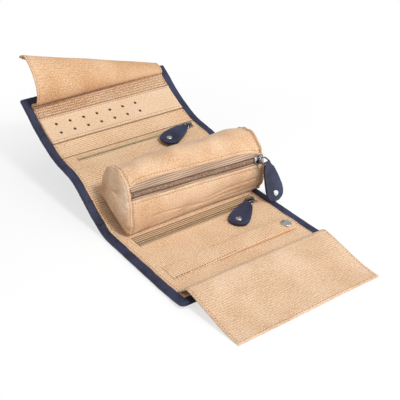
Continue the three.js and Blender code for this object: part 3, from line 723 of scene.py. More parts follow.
# The ring strap: a padded bar of folded cloth for rings, sewn down flat at its left end, fuller
# towards its right end, where it is snapped shut. One row of dark stitches runs along its near edge.
strap_low, strap_high = (np.array(corner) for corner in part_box("ring_strap"))
_, strap_mid_y, strap_mid_z = (strap_low + strap_high) / 2
_, strap_half_y, strap_half_z = (strap_high - strap_low) / 2
strap_power, strap_crown, strap_end = 0.42, 0.22, 3 * mm
fuller_from, fuller_to = -84 * mm, 30 * mm
strap_x = np.linspace(strap_low[0], strap_high[0], 150)
around = rounded(1, 1, 56, strap_power)
from_end = np.minimum(strap_x - strap_low[0], strap_high[0] - strap_x)
end_round = np.clip(from_end / strap_end, 0, 1)
end_scale = (0.55 + 0.45 * np.sqrt(1 - (1 - end_round) ** 2))[:, None]
ripple = (1 + 0.05 * np.sin(strap_x * 150) + 0.03 * np.sin(strap_x * 410 + 1))[:, None]
crowned = np.where(around[:, 1] > 0, (1 - strap_crown * around[:, 0] ** 2) * ripple, 1)
fuller = ease(strap_x, fuller_from, fuller_to)[:, None]
ring_y = strap_mid_y + strap_half_y * (0.94 + 0.06 * end_scale) * around[:, 0]
ring_z = strap_mid_z + strap_half_z * end_scale * around[:, 1] * crowned
ring_z = strap_low[2] + (ring_z - strap_low[2]) * (0.02 + 0.98 * fuller)
ring_x = strap_x[:, None] + 0 * ring_y
points, faces = capped(np.stack([ring_x, ring_y, ring_z], -1))
uv = np.stack([ring_x, ring_y + ring_z + 0.7], -1)
uv = np.concatenate([uv.reshape(-1, 2), uv[[0, -1], 0]])
ring_strap = new_piece("ring_strap_cloth", points, turned(faces), woven_cloth, uv)
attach(ring_strap, "strap")
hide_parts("ring_strap")
row_x = np.linspace(strap_low[0] + 2 * mm, strap_high[0] - 3 * mm, 140)
row_y = strap_low[1] + 1.6 * mm
row_share = abs(row_y - strap_mid_y) / strap_half_y
row_height = (1 - strap_crown * row_share**2) * (1 - row_share ** (1 / strap_power)) ** strap_power
row_z = strap_mid_z + strap_half_z * row_height - strap_low[2]
row_z = strap_low[2] + row_z * (0.08 + 0.92 * ease(row_x, fuller_from, fuller_to))
strap_row = np.stack([row_x, np.full_like(row_x, row_y), row_z], -1)
strap_seams = stitches(
    "seams_strap", [(strap_row, np.tile([0.0, 0, 1], (len(row_x), 1)))], cord_brown,
    offset=0.1 * mm, length=2.3 * mm, pitch=3.2 * mm, radius=0.4 * mm,
)
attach(strap_seams, "strap")


# The snap: a bright cap of pressed brass, plated, on the strap's right end. It grips a stud that
# stands on the lining, which is the CAD's own solid in the same metal.
def bright_metal(name, dark, light, roughness):
    """Pressed and tumbled metal: a fine cloud in its colour and its gloss."""
    made, tree, shader = simple_material(name, light, roughness, 1.0)
    cloud = noise(tree, own_place(tree), 900, 4)
    set_colour(tree, shader, cloud, [(0.3, dark), (0.7, light)])
    set_gloss(tree, shader, cloud, roughness * 0.7, roughness * 1.5)
    return made


nickel = bright_metal("nickel", (0.45, 0.45, 0.46), (0.85, 0.85, 0.86), 0.22)


def lathe(name, profile, centre, normal, material, count=40):
    """A profile of (radius, height) turned about normal at centre; its end radii are zero."""
    normal = unit(np.asarray(normal, float))
    side = unit(np.cross(normal, [1.0, 0.0, 0.0] if abs(normal[0]) < 0.9 else [0.0, 1.0, 0.0]))
    angle = np.arange(count)[:, None] / count * 2 * np.pi
    flat_ring = np.cos(angle) * side + np.sin(angle) * np.cross(normal, side)
    axis = np.asarray(centre) + profile[:, 1:] * normal
    rings = axis[1:-1, None] + profile[1:-1, :1, None] * flat_ring
    return new_piece(name, *capped(rings, axis[[0, -1]]), material)


snap_low, snap_high = (np.array(corner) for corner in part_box("snap_cap"))
snap_radius, snap_height = (snap_high[0] - snap_low[0]) / 2, snap_high[2] - snap_low[2]
snap_profile = np.array(
    [
        [0, -0.4], [1, -0.4], [1, 0.25], [0.95, 0.5], [0.84, 0.62], [0.78, 0.5], [0.72, 0.6],
        [0.5, 0.86], [0.25, 0.97], [0, 1],
    ]
)
snap_foot = (*(snap_low[:2] + snap_high[:2]) / 2, snap_low[2])
snap_cap = lathe(
    "snap_cap_pressed", snap_profile * [snap_radius, snap_height], snap_foot, (0, 0, 1), nickel
)
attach(snap_cap, "strap")
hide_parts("snap_cap")
frame["nodes"]["snap_stud"].data.materials.clear()
frame["nodes"]["snap_stud"].data.materials.append(nickel)


# The front flap: a cloth sheet with stitched edges. It leaves its seam near the front edge, rises over
# the border and falls to the table. Its first part lies over the seam and the rest over the crest.
flap_cloth = tan_material(
    "tan_flap", ribs=150, weave=0.14, contrast=0.9, tint=(0.64, 0.425, 0.265), depth=0.3 * mm,
    cloud=0.2,
)
flap_thickness, flap_length, flap_drift = 1.8 * mm, 88.5 * mm, 5 * mm
flap_half = half_width - 8.5 * mm
flap_seam_y = -107 * mm
flap_seam_z = float(np.interp(flap_seam_y, fine_y, fine_z)) + 1.8 * mm
# Shares of the flap's length: how far forward each given point lies, and how high at either side.
flap_y = np.array([0, 0.045, 0.085, 0.1415, 0.2, 0.27, 0.36, 0.46, 0.6, 0.75, 0.88, 1])
flap_left = [0.004, 0.03, 0.075, 0.12, 0.118, 0.104, 0.078, 0.05, 0.012, -0.024, -0.043, -0.0525]
flap_right = [0.004, 0.035, 0.085, 0.12, 0.112, 0.097, 0.075, 0.05, 0.01, -0.024, -0.043, -0.0525]


def smooth_curve(points):
    """A smooth curve through given points, in cubic pieces.

    The tangent at each point is half the chord between its neighbours.
    """
    points = np.asarray(points, float)
    tangent = np.gradient(points, axis=0)
    t = np.linspace(0, 1, 25)[:-1, None]
    a, b = points[:-1, None], points[1:, None]
    start, end = tangent[:-1, None], tangent[1:, None]
    rise = t * t * (3 - 2 * t)
    bend = a * (1 - rise) + b * rise + start * t * (1 - t) ** 2 - end * t**2 * (1 - t)
    return np.concatenate([bend.reshape(-1, points.shape[1]), points[-1:]])


def curve_pair(left, right, rows):
    """Two smooth curves whose points answer each other, at rows even in their mean length."""
    both = np.stack([smooth_curve(left), smooth_curve(right)])
    steps = np.linalg.norm(np.diff(both, axis=1), axis=2).mean(0)
    run = np.concatenate([[0], np.cumsum(steps)])
    even = np.linspace(0, run[-1], rows)
    resampled = [[np.interp(even, run, curve[:, k]) for k in range(2)] for curve in both]
    return np.asarray(resampled).transpose(0, 2, 1), run[-1]


def ruled(left, right, half_span):
    """Straight lines across between a left and a right curve of (y, z), and the curves' length."""
    (left_line, right_line), length = curve_pair(left, right, flap_rows)
    t = np.linspace(0, 1, flap_columns)[None, :, None]
    yz = left_line[:, None] * (1 - t) + right_line[:, None] * t
    x = np.broadcast_to(-half_span + 2 * half_span * t, (flap_rows, flap_columns, 1))
    return np.concatenate([x, yz], -1), length


def grid_normals(surface):
    """Unit normals of a grid of points, from the cross product of its two gradients."""
    return unit(np.cross(np.gradient(surface, axis=1), np.gradient(surface, axis=0)))


def sheet_solid(surface, thickness, side, joined_row):
    """A closed sheet below a grid's outer face, rounded thin at its rim.

    It keeps its thickness at its joined row (first -1, last 1, none 0). Side is minus one where the
    grid's normals point in.
    """
    normal = grid_normals(surface) * side
    rows, columns = surface.shape[:2]
    i, j = np.arange(rows)[:, None], np.arange(columns)[None]
    down, over = (np.linalg.norm(np.diff(surface, axis=k), axis=2).mean() for k in (0, 1))
    from_start, from_end = i + rows * (joined_row == -1), rows - 1 - i + rows * (joined_row == 1)
    from_side = np.minimum(j, columns - 1 - j)
    rim = np.minimum(np.minimum(from_start, from_end) * down, from_side * over)
    round_edge = np.sqrt(1 - (1 - np.clip(rim / (1.2 * mm), 0, 1)) ** 2)
    middle, half = thickness / 2, thickness / 2 * (0.35 + 0.65 * round_edge)
    upper = surface + normal * (half - middle)[..., None]
    lower = surface - normal * (half + middle)[..., None]
    points, faces = closed_slab(upper, lower)
    return points, [block[:, ::side] for block in faces]


def at_rim(piece, rows, columns):
    """True for the faces round a closed slab's rim, which come after those of its two sides."""
    return np.arange(len(piece.data.polygons)) >= 2 * (rows - 1) * (columns - 1)


def flap_piece(name, surface, uv, cloth, side, joined_row=0):
    """A cloth sheet with its own uv and with crisp cut edges."""
    points, faces = sheet_solid(surface, flap_thickness, side, joined_row)
    piece = new_piece(name, points, faces, cloth, np.concatenate([uv, uv]))
    piece.data.polygons.foreach_set("use_smooth", ~at_rim(piece, *surface.shape[:2]))
    return piece


def edge_seams(surface, side, rise=0.0):
    """Seam lines along both sides and the far edge of a grid, set in by three cells."""
    inset = 3
    normal = grid_normals(surface) * side
    lifted = surface + normal * rise
    left, right = (slice(None, -inset), inset), (slice(None, -inset), -1 - inset)
    end = (-1 - inset, slice(inset, -inset))
    return [(lifted[line], normal[line]) for line in (left, right, end)]


flap_rows, flap_columns, root_rows = 110, 200, 9
flap_places = flap_seam_y - flap_y * flap_length
front_surface, front_run = ruled(
    np.stack([flap_places, flap_seam_z + np.array(flap_left) * flap_length], -1),
    np.stack([flap_places, flap_seam_z + np.array(flap_right) * flap_length], -1),
    flap_half,
)
v = np.linspace(0, 1, flap_rows)[:, None]
u = np.linspace(-1, 1, flap_columns)[None]
wobble = 0.7 * np.sin(u * 2.6 + 0.4) * v**1.5 * (1 - v * 0.5)
wobble = (wobble + 0.25 * np.sin(u * 7 + v * 5) * v * (1 - v)) * 2.2 * mm
front_surface[..., 2] = np.maximum(front_surface[..., 2] + wobble, 2.1 * mm)
front_surface[..., 0] += (flap_seam_y - front_surface[..., 1]) / flap_length * flap_drift
front_uv = np.stack(np.broadcast_arrays(u * flap_half, v * front_run + 0.5), -1)
crest_row = root_rows - 1
front_flap = flap_piece(
    "front_flap_cloth", front_surface[crest_row:], front_uv[crest_row:], flap_cloth, -1, -1
)
front_root = flap_piece(
    "front_flap_root_cloth", front_surface[:root_rows], front_uv[:root_rows], flap_cloth, -1, 1
)
front_seams = stitches(
    "seams_front_flap", edge_seams(front_surface[crest_row + 3 :], -1), offset=-0.1 * mm
)
joint = {each["name"]: each for each in frame["joints"]}
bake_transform(front_flap)
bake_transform(front_root)
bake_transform(front_seams)
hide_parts("front_flap")
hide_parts("front_flap_root")


# The back flap: a cloth sheet of the same make, sewn near the back edge, its tint darker and browner
# as painted shade. It keeps the wide curl it was rolled in at the left and hangs over the back edge
# at the right.
# Darker and browner than the front flap's cloth: painted shade on the back flap.
back_flap_shade_cloth = tan_material(
    "tan_back_flap_painted_shade", ribs=170, weave=0.08, contrast=0.9, tint=(0.64, 0.375, 0.19), depth=0.3 * mm,
    cloud=0.2,
)
back_length, back_half = 94 * mm, half_width - 9 * mm
back_seam_y = 187 * mm
back_seam = np.array([back_seam_y, np.interp(back_seam_y, fine_y, fine_z)])
# The curl's outline at either side, in (y, z) from the seam as shares of the flap's length.
back_left = np.array(
    [
        [-0.002, 0.012], [-0.13, 0.065], [-0.183, 0.165], [-0.19, 0.28], [-0.145, 0.4],
        [-0.05, 0.525], [0.075, 0.613], [0.13, 0.618], [0.18, 0.605], [0.215, 0.588],
        [0.245, 0.568],
    ]
)
back_right = np.array(
    [
        [-0.018, 0.014], [-0.014, 0.032], [-0.006, 0.05], [0.01, 0.07], [0.035, 0.088],
        [0.075, 0.104], [0.13, 0.11], [0.2, 0.065], [0.25, -0.07], [0.28, -0.29], [0.3, -0.53],
    ]
)
back_surface, back_run = ruled(
    back_seam + back_left * back_length, back_seam + back_right * back_length, back_half
)
back_surface[..., 1] += 2 * mm * np.sin(v * np.pi) * np.sin((u + 1) * 1.9)
back_surface[..., 2] += 0.8 * mm * np.sin(u * 8 + v * 4) * v * (1 - v)
back_uv = np.stack(np.broadcast_arrays(u * back_half, v * back_run + 0.9), -1)
back_flap = flap_piece("back_flap_cloth", back_surface, back_uv, back_flap_shade_cloth, 1)
back_seams = stitches("seams_back_flap", edge_seams(back_surface, 1), offset=-0.1 * mm)
back_under = stitches(
    "seams_back_flap_under", edge_seams(back_surface, 1, -flap_thickness), offset=-0.3 * mm
)
for piece in (back_flap, back_seams, back_under):
    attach(piece, "back_flap")
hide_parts("back_flap")


# The pouch: a soft padded barrel sewn to the middle of the lining, lofted between its two end outlines.
# Its middle stands a little higher than its ends, and its cloth puckers at the end seams.
pouch_cloth = tan_material(
    "tan_pouch", ribs=170, weave=0.1, contrast=0.9, tint=(0.69, 0.45, 0.27), depth=0.3 * mm,
    cloud=0.3,
)
pouch_height, pouch_left, pouch_right = 75 * mm, -78 * mm, 98 * mm
pouch_rows, pouch_columns = 190, 260
# The outline at either end, in (y, z) as shares of the height, from the front foot over the top.
left_outline = np.array(
    [
        [-0.02, 0.07], [-0.055, 0.16], [-0.072, 0.32], [-0.062, 0.47], [-0.035, 0.62], [0, 0.76],
        [0.06, 0.88], [0.155, 0.965], [0.28, 1], [0.42, 0.975], [0.54, 0.905], [0.62, 0.8],
        [0.665, 0.67], [0.7, 0.53], [0.735, 0.41],
    ]
)
right_outline = np.array(
    [
        [-0.02, 0.075], [-0.075, 0.16], [-0.125, 0.31], [-0.135, 0.45], [-0.11, 0.59],
        [-0.06, 0.715], [0.01, 0.835], [0.11, 0.93], [0.24, 0.98], [0.39, 0.965], [0.52, 0.9],
        [0.61, 0.79], [0.665, 0.65], [0.705, 0.52], [0.74, 0.41],
    ]
)
slot_left, slot_right, slot_below = -75 * mm, 93 * mm, 6.6 * mm
zip_z_left, zip_z_right = 53.6 * mm, 49.2 * mm
above_left, above_right, lip_narrowing = 13.4 * mm, 9.6 * mm, 0.45
lip_seam, waist_depth = 2.9 * mm, 1.6 * mm


def zip_height(x):
    """The height of the pouch zip's line at x."""
    return zip_z_left + (zip_z_right - zip_z_left) * (x - slot_left) / (slot_right - slot_left)


def upper_lip(x):
    """How far the slot's upper lip stands over the zip's line: it comes down at both ends."""
    along = (x - slot_left) / (slot_right - slot_left)
    straight = above_left + (above_right - above_left) * along
    return straight * (1 - lip_narrowing * np.abs(2 * along - 1) ** 8)


def over_lining(points):
    """The same points, raised where they would lie under the lining's face."""
    low = np.interp(points[..., 1], fine_y, fine_z) + 0.2 * mm
    return np.concatenate([points[..., :2], np.maximum(points[..., 2], low)[..., None]], -1)


# Round the girth s runs from the front foot to the back one, and along the pouch t from left to right.
(left_curve, right_curve), girth = curve_pair(
    left_outline * pouch_height, right_outline * pouch_height, pouch_rows
)
t = np.linspace(0, 1, pouch_columns)
s_grid, t_grid = np.meshgrid(np.linspace(0, 1, pouch_rows), t, indexing="ij")
pouch_yz = left_curve[:, None] * (1 - t)[:, None] + right_curve[:, None] * t[:, None]
pouch_yz = pouch_yz * np.stack([0 * t + 1, 1 + 0.07 * np.sin(np.pi * t)], -1)
pouch_x = pouch_left + (pouch_right - pouch_left) * t_grid
plain_pouch = np.concatenate([pouch_x[..., None], pouch_yz], -1)
pouch_normal = grid_normals(plain_pouch)

# What the zip does to the cloth: a recess between its lips, a swollen lip and a seam beyond it.
along_face = np.where(s_grid < 0.5, plain_pouch[..., 2] - zip_height(pouch_x), 1.0)
past_lip = np.maximum(-slot_below - along_face, along_face - upper_lip(pouch_x))
recess = 1 - ease(past_lip, -0.8 * mm, 0.0)
recess = recess * ease(pouch_x, slot_left - 1 * mm, slot_left + 0.5 * mm)
recess = recess * (1 - ease(pouch_x, slot_right - 0.5 * mm, slot_right + 1 * mm))
zip_lip = hill(past_lip - 1 * mm, 1.1 * mm, 0.5 * mm)
zip_seam = -hill(past_lip - lip_seam, 0.9 * mm, 0.35 * mm)

# What wear does to it: puckers and a valley at the end seams, slow lumps, a hump and a hollow on top,
# and shallow creases, each a valley from (t, s) to (t, s) with its depth.
end_inset = 3.2 * mm
waist = -waist_depth * np.sin(np.pi * t_grid)
end_near = np.minimum(t_grid, 1 - t_grid) * (pouch_right - pouch_left)
end_valley = -hill(end_near - end_inset, 1.3 * mm, 0.8 * mm)
folds = hill(end_near, 11 * mm, 0.55 * mm) * np.sin(s_grid * 62 + np.sin(s_grid * 19) * 1.5)
lumps = 0.55 * mm * np.sin(t_grid * 13 + s_grid * 5) * np.sin(s_grid * 11 + 0.7)
lumps = lumps + 0.35 * mm * np.sin(t_grid * 27 - s_grid * 16)
top_hump = hill(t_grid - 0.86, 0.07, 1.6 * mm) - hill(t_grid - 0.68, 0.07, 1.3 * mm)
lumps = lumps + top_hump * ease(s_grid, 0.3, 0.5)
pouch_creases = (
    (0.5, 0.10, 1.05, 0.17, 1.1 * mm),
    (0.25, 0.05, 0.9, 0.10, 0.8 * mm),
    (0.08, 0.13, 0.55, 0.07, 0.7 * mm),
    (0.62, 0.04, 1.05, 0.055, 1.0 * mm),
    (0.05, 0.05, 0.4, 0.03, 0.6 * mm),
    (0.6, 0.36, 0.97, 0.44, 0.5 * mm),
)
for t_start, s_start, t_end, s_end, depth in pouch_creases:
    crease_s = s_start + (s_end - s_start) * (t_grid - t_start) / (t_end - t_start)
    fade = ease(t_grid, t_start, t_start + 0.12) * (1 - ease(t_grid, t_end - 0.06, t_end))
    folds = folds - fade * hill(s_grid - crease_s, 0.009, depth)
foot = ease(np.minimum(s_grid, 1 - s_grid), 0.0, 0.05)
relief = (folds + lumps) * foot + end_valley + zip_lip + zip_seam
relief = waist + relief * (1 - recess) - 1.7 * mm * recess
pouch_surface = over_lining(plain_pouch + pouch_normal * relief[..., None])
inner_surface = over_lining(plain_pouch + pouch_normal * (waist - 2.6 * mm)[..., None])
pouch_uv = np.stack([pouch_x, s_grid * girth + 1.3], -1)
pouch_slab = closed_slab(pouch_surface, inner_surface)
pouch_wall = new_piece(
    "pouch_cloth", *pouch_slab, pouch_cloth, np.concatenate([pouch_uv, pouch_uv])
)
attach(pouch_wall, "middle")
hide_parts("pouch_wall")


# The pouch's ends: two domed pieces of browner cloth. They bulge most near the foot, with faint
# radial folds.
cap_cloth = tan_material(
    "tan_cap", ribs=170, weave=0.1, contrast=1.2, tint=(0.67, 0.395, 0.215), depth=0.4 * mm,
    cloud=0.4,
)
cap_rings, cap_depth, cap_wall = 22, 7 * mm, 2.2 * mm


def pouch_cap(name, column, side):
    """A domed end with an inner wall: the wall's outline at a column shrinks in rings to its middle.

    Ring r from 0 to 1 has the outline's size times cos(r) to a power, and bulges by sin(r) to one.
    """
    edge = pouch_surface[::2, column]
    count = len(edge)
    ring = np.linspace(0, 1, cap_rings)[:, None]
    spoke = np.arange(count) / count
    shrink = np.cos(ring * np.pi / 2) ** 0.75
    crease = 1 + 0.012 * np.sin(spoke * 2 * np.pi * 13) * np.sin(ring * np.pi)
    low = 1 - ease(edge[:, 2], 22 * mm, 62 * mm)
    bulge = cap_depth * (0.62 + 0.4 * low) * np.sin(ring * np.pi / 2) ** 0.8 * crease
    bulge = bulge - 0.3 * mm * np.exp(-((ring - 0.12) ** 2) / 0.004)
    centre = edge.mean(0)[1:]
    yz = centre + (edge[:, 1:] - centre) * shrink[..., None]
    outer = over_lining(np.concatenate([(edge[:, 0] + side * bulge)[..., None], yz], -1))
    inner = outer.copy()
    inner[..., 0] -= side * cap_wall * (1 - ring * 0.2)
    here = np.arange(count)
    ahead = (here + 1) % count
    last, size = (cap_rings - 1) * count, cap_rings * count
    wall = grid_faces(cap_rings, count, True)
    rim = np.stack([ahead, here, here + size, ahead + size], -1)
    fan = np.stack([last + here, last + ahead, np.full(count, 2 * size)], -1)
    inner_fan = fan[:, [1, 0, 2]] + [size, size, 1]
    faces = [wall, wall[:, ::-1] + size, rim, fan, inner_fan]
    middles = np.stack([outer[-1].mean(0), inner[-1].mean(0)])
    points = np.concatenate([outer.reshape(-1, 3), inner.reshape(-1, 3), middles])
    uv = points[:, 1:] + [0.4, 0]
    piece = new_piece(name, points, turned(faces) if side > 0 else faces, cap_cloth, uv)
    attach(piece, "middle")
    return piece


cap_left = pouch_cap("pouch_cap_left_cloth", 0, -1)
cap_right = pouch_cap("pouch_cap_right_cloth", -1, 1)
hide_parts("pouch_cap_left")
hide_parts("pouch_cap_right")


# The pouch's stitches: a row round each end, and one along each lip of the zip.
def round_pouch(column):
    """A seam round the pouch at one column of its grid."""
    rows = slice(6, -6)
    return pouch_surface[rows, column], pouch_normal[rows, column]


def along_pouch(height):
    """A seam along the pouch's face at a height over the zip's line, as long as the slot."""
    x = pouch_x[0]
    row = np.argmin(np.abs(along_face - height), axis=0)
    keep = (x > slot_left - 1 * mm) & (x < slot_right + 1 * mm)
    at = (row[keep], np.arange(pouch_columns)[keep])
    return pouch_surface[at], pouch_normal[at]


end_column = int(round(end_inset / (pouch_right - pouch_left) * pouch_columns))
lip_rows = (upper_lip(pouch_x[0]) + lip_seam, -slot_below - lip_seam)
pouch_lines = [round_pouch(column) for column in (end_column, -1 - end_column)]
pouch_lines = pouch_lines + [along_pouch(height) for height in lip_rows]
pouch_seams = stitches("seams_pouch", pouch_lines, offset=0.1 * mm)
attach(pouch_seams, "middle")


# The pouch's zip: two woven tapes with ribs, wider above, that follow the leaning face, and between
# them a heavier coil with a thick dark cord on either side, as sewing thread and as painted shade in
# the gaps to the tapes.
taupe_tape = tape_material("taupe_tape", (0.27, 0.175, 0.12), (0.56, 0.40, 0.285), 150, "Z")
brown_coil = clouded("brown_coil", (0.27, 0.165, 0.11), (0.58, 0.41, 0.30), 0.45, 500)
barrel_coil_half, tape_clear = 2.5 * mm, 0.4 * mm
barrel_x = np.linspace(slot_left + tape_clear, slot_right - tape_clear, 170)


def face_points(x, height, lift):
    """Points and normals of the pouch's front face at every x and height over the zip's line.

    The nearest row of the plain face is found, and the point slides along the face's slope to its
    height. It is then lifted along the normal, less the waist.
    """
    x, height = np.broadcast_arrays(x, height)
    column = np.clip(np.searchsorted(pouch_x[0], x), 1, pouch_columns - 1)
    target = zip_height(x) + height
    row = np.argmin(np.abs(plain_pouch[: pouch_rows // 2, column, 2] - target), axis=0)
    near, slope = plain_pouch[row, column], pouch_normal[row, column]
    y = near[..., 1] - (target - near[..., 2]) * slope[..., 2] / slope[..., 1]
    sunk = -waist_depth * np.sin(np.pi * (x - pouch_left) / (pouch_right - pouch_left)) + lift
    return np.stack([x, y, target], -1) + slope * sunk[..., None], slope


tape_share = np.linspace(0, 1, 12)[:, None]
coil_side = barrel_coil_half + 2 * tape_clear
tape_heights = {
    "low": tape_clear - slot_below + tape_share * (slot_below - coil_side) + 0 * barrel_x,
    "high": barrel_coil_half + tape_clear + tape_share * (upper_lip(barrel_x) - coil_side),
}
for label, heights in tape_heights.items():
    top = face_points(barrel_x, heights, -0.6 * mm)[0]
    top[..., 1] -= 0.4 * mm * np.sin(heights * 2 * np.pi / (2.4 * mm))
    low = face_points(barrel_x, heights, -1.15 * mm)[0]
    piece = new_piece("pouch_tape_" + label, *closed_slab(top, low), taupe_tape)
    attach(piece, "middle")
    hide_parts("barrel_tape_" + label)
barrel_line, barrel_normal = face_points(barrel_x, 0 * mm, -0.5 * mm)
barrel_turns = coil_points(
    barrel_line, barrel_normal, pitch=1.75 * mm, reach=2.1 * mm, radius=0.62 * mm
)
# Dark cords beside the coil: its sewing thread, and painted shade in the gaps between coil and tapes.
barrel_sewing_and_shade = cords(
    [(barrel_line, barrel_normal)], (-2.9 * mm, 2.9 * mm), 0.65 * mm, 0.15 * mm
)
barrel_coil = new_piece("pouch_coil", *barrel_turns, brown_coil)
barrel_cords_and_shade = new_piece("pouch_cords_and_shade", *barrel_sewing_and_shade, cord_brown)
for piece in (barrel_coil, barrel_cords_and_shade):
    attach(piece, "middle")
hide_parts("barrel_coil")


# A soft cord under the cloth, where either end is sewn to the wall.
piping_radius = 1.1 * mm


def end_piping(name, column):
    """The corded seam round an end of the pouch: a soft tube along the wall's edge."""
    outward = pouch_normal[4:-4, column]
    path = pouch_surface[4:-4, column] - outward * 0.3 * mm
    section = rounded(piping_radius, piping_radius, 12, 1.0)
    right = np.tile([1.0, 0, 0], (len(path), 1))
    points, faces = capped(swept(section, path, outward, right))
    uv = np.stack([points[:, 0] * 3, points[:, 1] + points[:, 2]], -1)
    piece = new_piece(name, points, faces, pouch_cloth, uv)
    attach(piece, "middle")


end_piping("pouch_piping_left", 0)
end_piping("pouch_piping_right", -1)


# The zip pulls: a cast slider with a bridge, a bent wire loop, and a navy leather tab of two layers,
# stitched round and painted black on its cut edge, with a plain domed stud near its end.
gunmetal = bright_metal("gunmetal", (0.10, 0.10, 0.105), (0.40, 0.40, 0.42), 0.16)
navy_thread = clouded("navy_thread", (0.04, 0.045, 0.1), (0.13, 0.14, 0.26), 0.6, 2500)
edge_paint = clouded("edge_paint", (0.004, 0.005, 0.012), (0.012, 0.014, 0.034), 0.45, 900)
wire, slider_plate = 0.7 * mm, 2.4 * mm
bridge_gap = wire + 0.4 * mm
loop_width, loop_length = 11 * mm, 11 * mm
loop_reach = loop_length - 2 * wire
tab_length, tab_half, tab_thickness, tab_start = 48 * mm, 12 * mm, 3 * mm, -2 * mm
tab_columns, stud_share = 45, 0.8
tab_dish, tab_waves = 0.5 * mm, 75


def placed(points, origin, along, bar, normal):
    """Local points (along the pull, along its bar, out of the face) set into the row frame."""
    return np.asarray(origin) + np.asarray(points) @ np.stack([along, bar, normal])


def tilted(points, degrees, origin=(0, 0, 0)):
    """Local points turned up about the bar by a tilt, then moved to an origin."""
    c, s = math.cos(math.radians(degrees)), math.sin(math.radians(degrees))
    turn = np.array([[c, 0, s], [0, 1, 0], [-s, 0, c]])
    return np.asarray(points) @ turn + np.asarray(origin)


def slider_mesh(length, width, bridge_across):
    """A plate that narrows to its nose, and an arched bridge: a flat bar bent along a half ellipse.

    The bridge stands across the plate or along it.
    """
    share = np.linspace(-1, 1, 25)[:, None]
    half_wide = width / 2 * (0.62 + 0.38 * ease(share, -1.1, -0.1))
    rise = 0.35 + 0.65 * np.sqrt(np.clip(1 - np.abs(share) ** 4, 0, 1))
    section = rounded(1, 1, 24, 0.5)
    y = half_wide * (0.75 + 0.25 * rise) * section[:, 0]
    z = slider_plate / 2 * rise * section[:, 1] - bridge_gap - slider_plate / 2
    plate, plate_faces = capped(np.stack([share * length / 2 + 0 * y, y, z], -1))
    arch = np.linspace(0, np.pi, 21)
    c, s = np.cos(arch), np.sin(arch)
    reach = (width if bridge_across else length - 1.2 * mm) / 2 - 0.65 * mm
    arch_x = -reach * np.sign(c) * np.abs(c) ** 0.6
    arch_z = (2 * bridge_gap + 0.5 * mm) * s**0.5 - bridge_gap - 0.3 * mm
    path = np.stack([arch_x, 0 * arch, arch_z], -1)
    across = np.tile([0.0, 1, 0], (len(path), 1))
    outward = np.cross(unit(np.gradient(path, axis=0)), across)
    bridge, bridge_faces = capped(swept(rounded(1 * mm, 0.5 * mm, 14), path, across, outward))
    if bridge_across:
        bridge = np.stack([-bridge[:, 1], bridge[:, 0], bridge[:, 2]], -1)
    return joined([(plate, turned(plate_faces)), (bridge, bridge_faces)])


def loop_mesh(offset, heft):
    """A round wire bent into a rounded rectangle, its inner bar on the pull's axis."""
    half_x, half_y = loop_reach / 2, loop_width / 2 - wire
    path = rounded(half_x, half_y, 64, 0.4) + [half_x, offset]
    path = np.concatenate([path, np.zeros((64, 1))], -1)
    along = unit(np.roll(path, -1, 0) - np.roll(path, 1, 0))
    upward = np.tile([0.0, 0, 1], (64, 1))
    section = rounded(wire * heft, wire * heft, 12, 1.0)
    rings = swept(section, path, np.cross(along, upward), upward)
    return rings.reshape(-1, 3), turned([grid_faces(64, 12, True, True)])


# The tab's half width along its length: listed places run through a moving mean, with a round far end.
tab_v = np.concatenate(
    [np.linspace(0, 0.14, 14), np.linspace(0.15, 0.9, 60), np.linspace(0.91, 1, 16)]
)
tab_places = [0, 0.075, 0.12, 0.2, 0.45, 0.68, 0.82, 0.92, 0.98, 1]
tab_widths = [0.31, 0.31, 0.5, 0.64, 0.86, 1, 0.98, 0.8, 0.5, 0.16]
tab_side = np.pad(np.interp(tab_v, tab_places, tab_widths), 4, mode="edge")
tab_side = np.convolve(tab_side, np.ones(9) / 9, mode="valid") * tab_half
round_end = np.sqrt(np.clip(1 - ((tab_v[-10:] - 0.8) / 0.203) ** 2, 0.0004, 1))
tab_side[-10:] = np.minimum(tab_side[-10:], tab_half * round_end)


def tab_mesh():
    """The tab's slab: it follows tab_side, with a thin rim, a sewn groove, and a swell at the wire."""
    u = np.sin(np.linspace(-np.pi / 2, np.pi / 2, tab_columns))
    x, u = np.meshgrid(tab_start + tab_v * tab_length, u, indexing="ij")
    tab_end = tab_start + tab_length
    edge = (1 - np.abs(u)) * tab_side[:, None]
    edge = np.minimum(np.minimum(edge, tab_end - x + 0.2 * mm), x - tab_start + 0.3 * mm)
    rounding = np.sqrt(1 - (1 - np.clip(edge / (0.9 * mm), 0, 1)) ** 2)
    half = tab_thickness / 2 * (0.84 + 0.16 * rounding)
    half = half - hill(edge - 2 * mm, 0.55 * mm, 0.28 * mm) * (x > 5 * mm)
    half = half + 0.25 * mm * ease(edge, 2.5 * mm, 7 * mm)
    half = np.maximum(half, np.sqrt(np.clip((1.75 * mm) ** 2 - x**2, 0, None)))
    y, dish = u * tab_side[:, None], tab_dish * np.sin(x * tab_waves)
    return closed_slab(np.stack([x, y, dish + half], -1), np.stack([x, y, dish - half], -1))


def tab_rows():
    """The two rows of stitches on the tab's face, 2 mm in from its sides."""
    x = tab_start + tab_v * tab_length
    keep = (x > 6 * mm) & (x < tab_start + tab_length - 1.6 * mm)
    y = np.maximum(tab_side - 2 * mm, 0)
    z = tab_thickness / 2 - 0.1 * mm + tab_dish * np.sin(x * tab_waves)
    return [np.stack([x, side * y, z], -1)[keep] for side in (-1, 1)]


stud_profile = mm * np.array(
    [
        [0, -0.5], [3.4, -0.5], [3.4, 0.5], [3.1, 0.85], [2.5, 0.95], [2.2, 0.8], [1.7, 1.15],
        [0.9, 1.4], [0, 1.45],
    ]
)


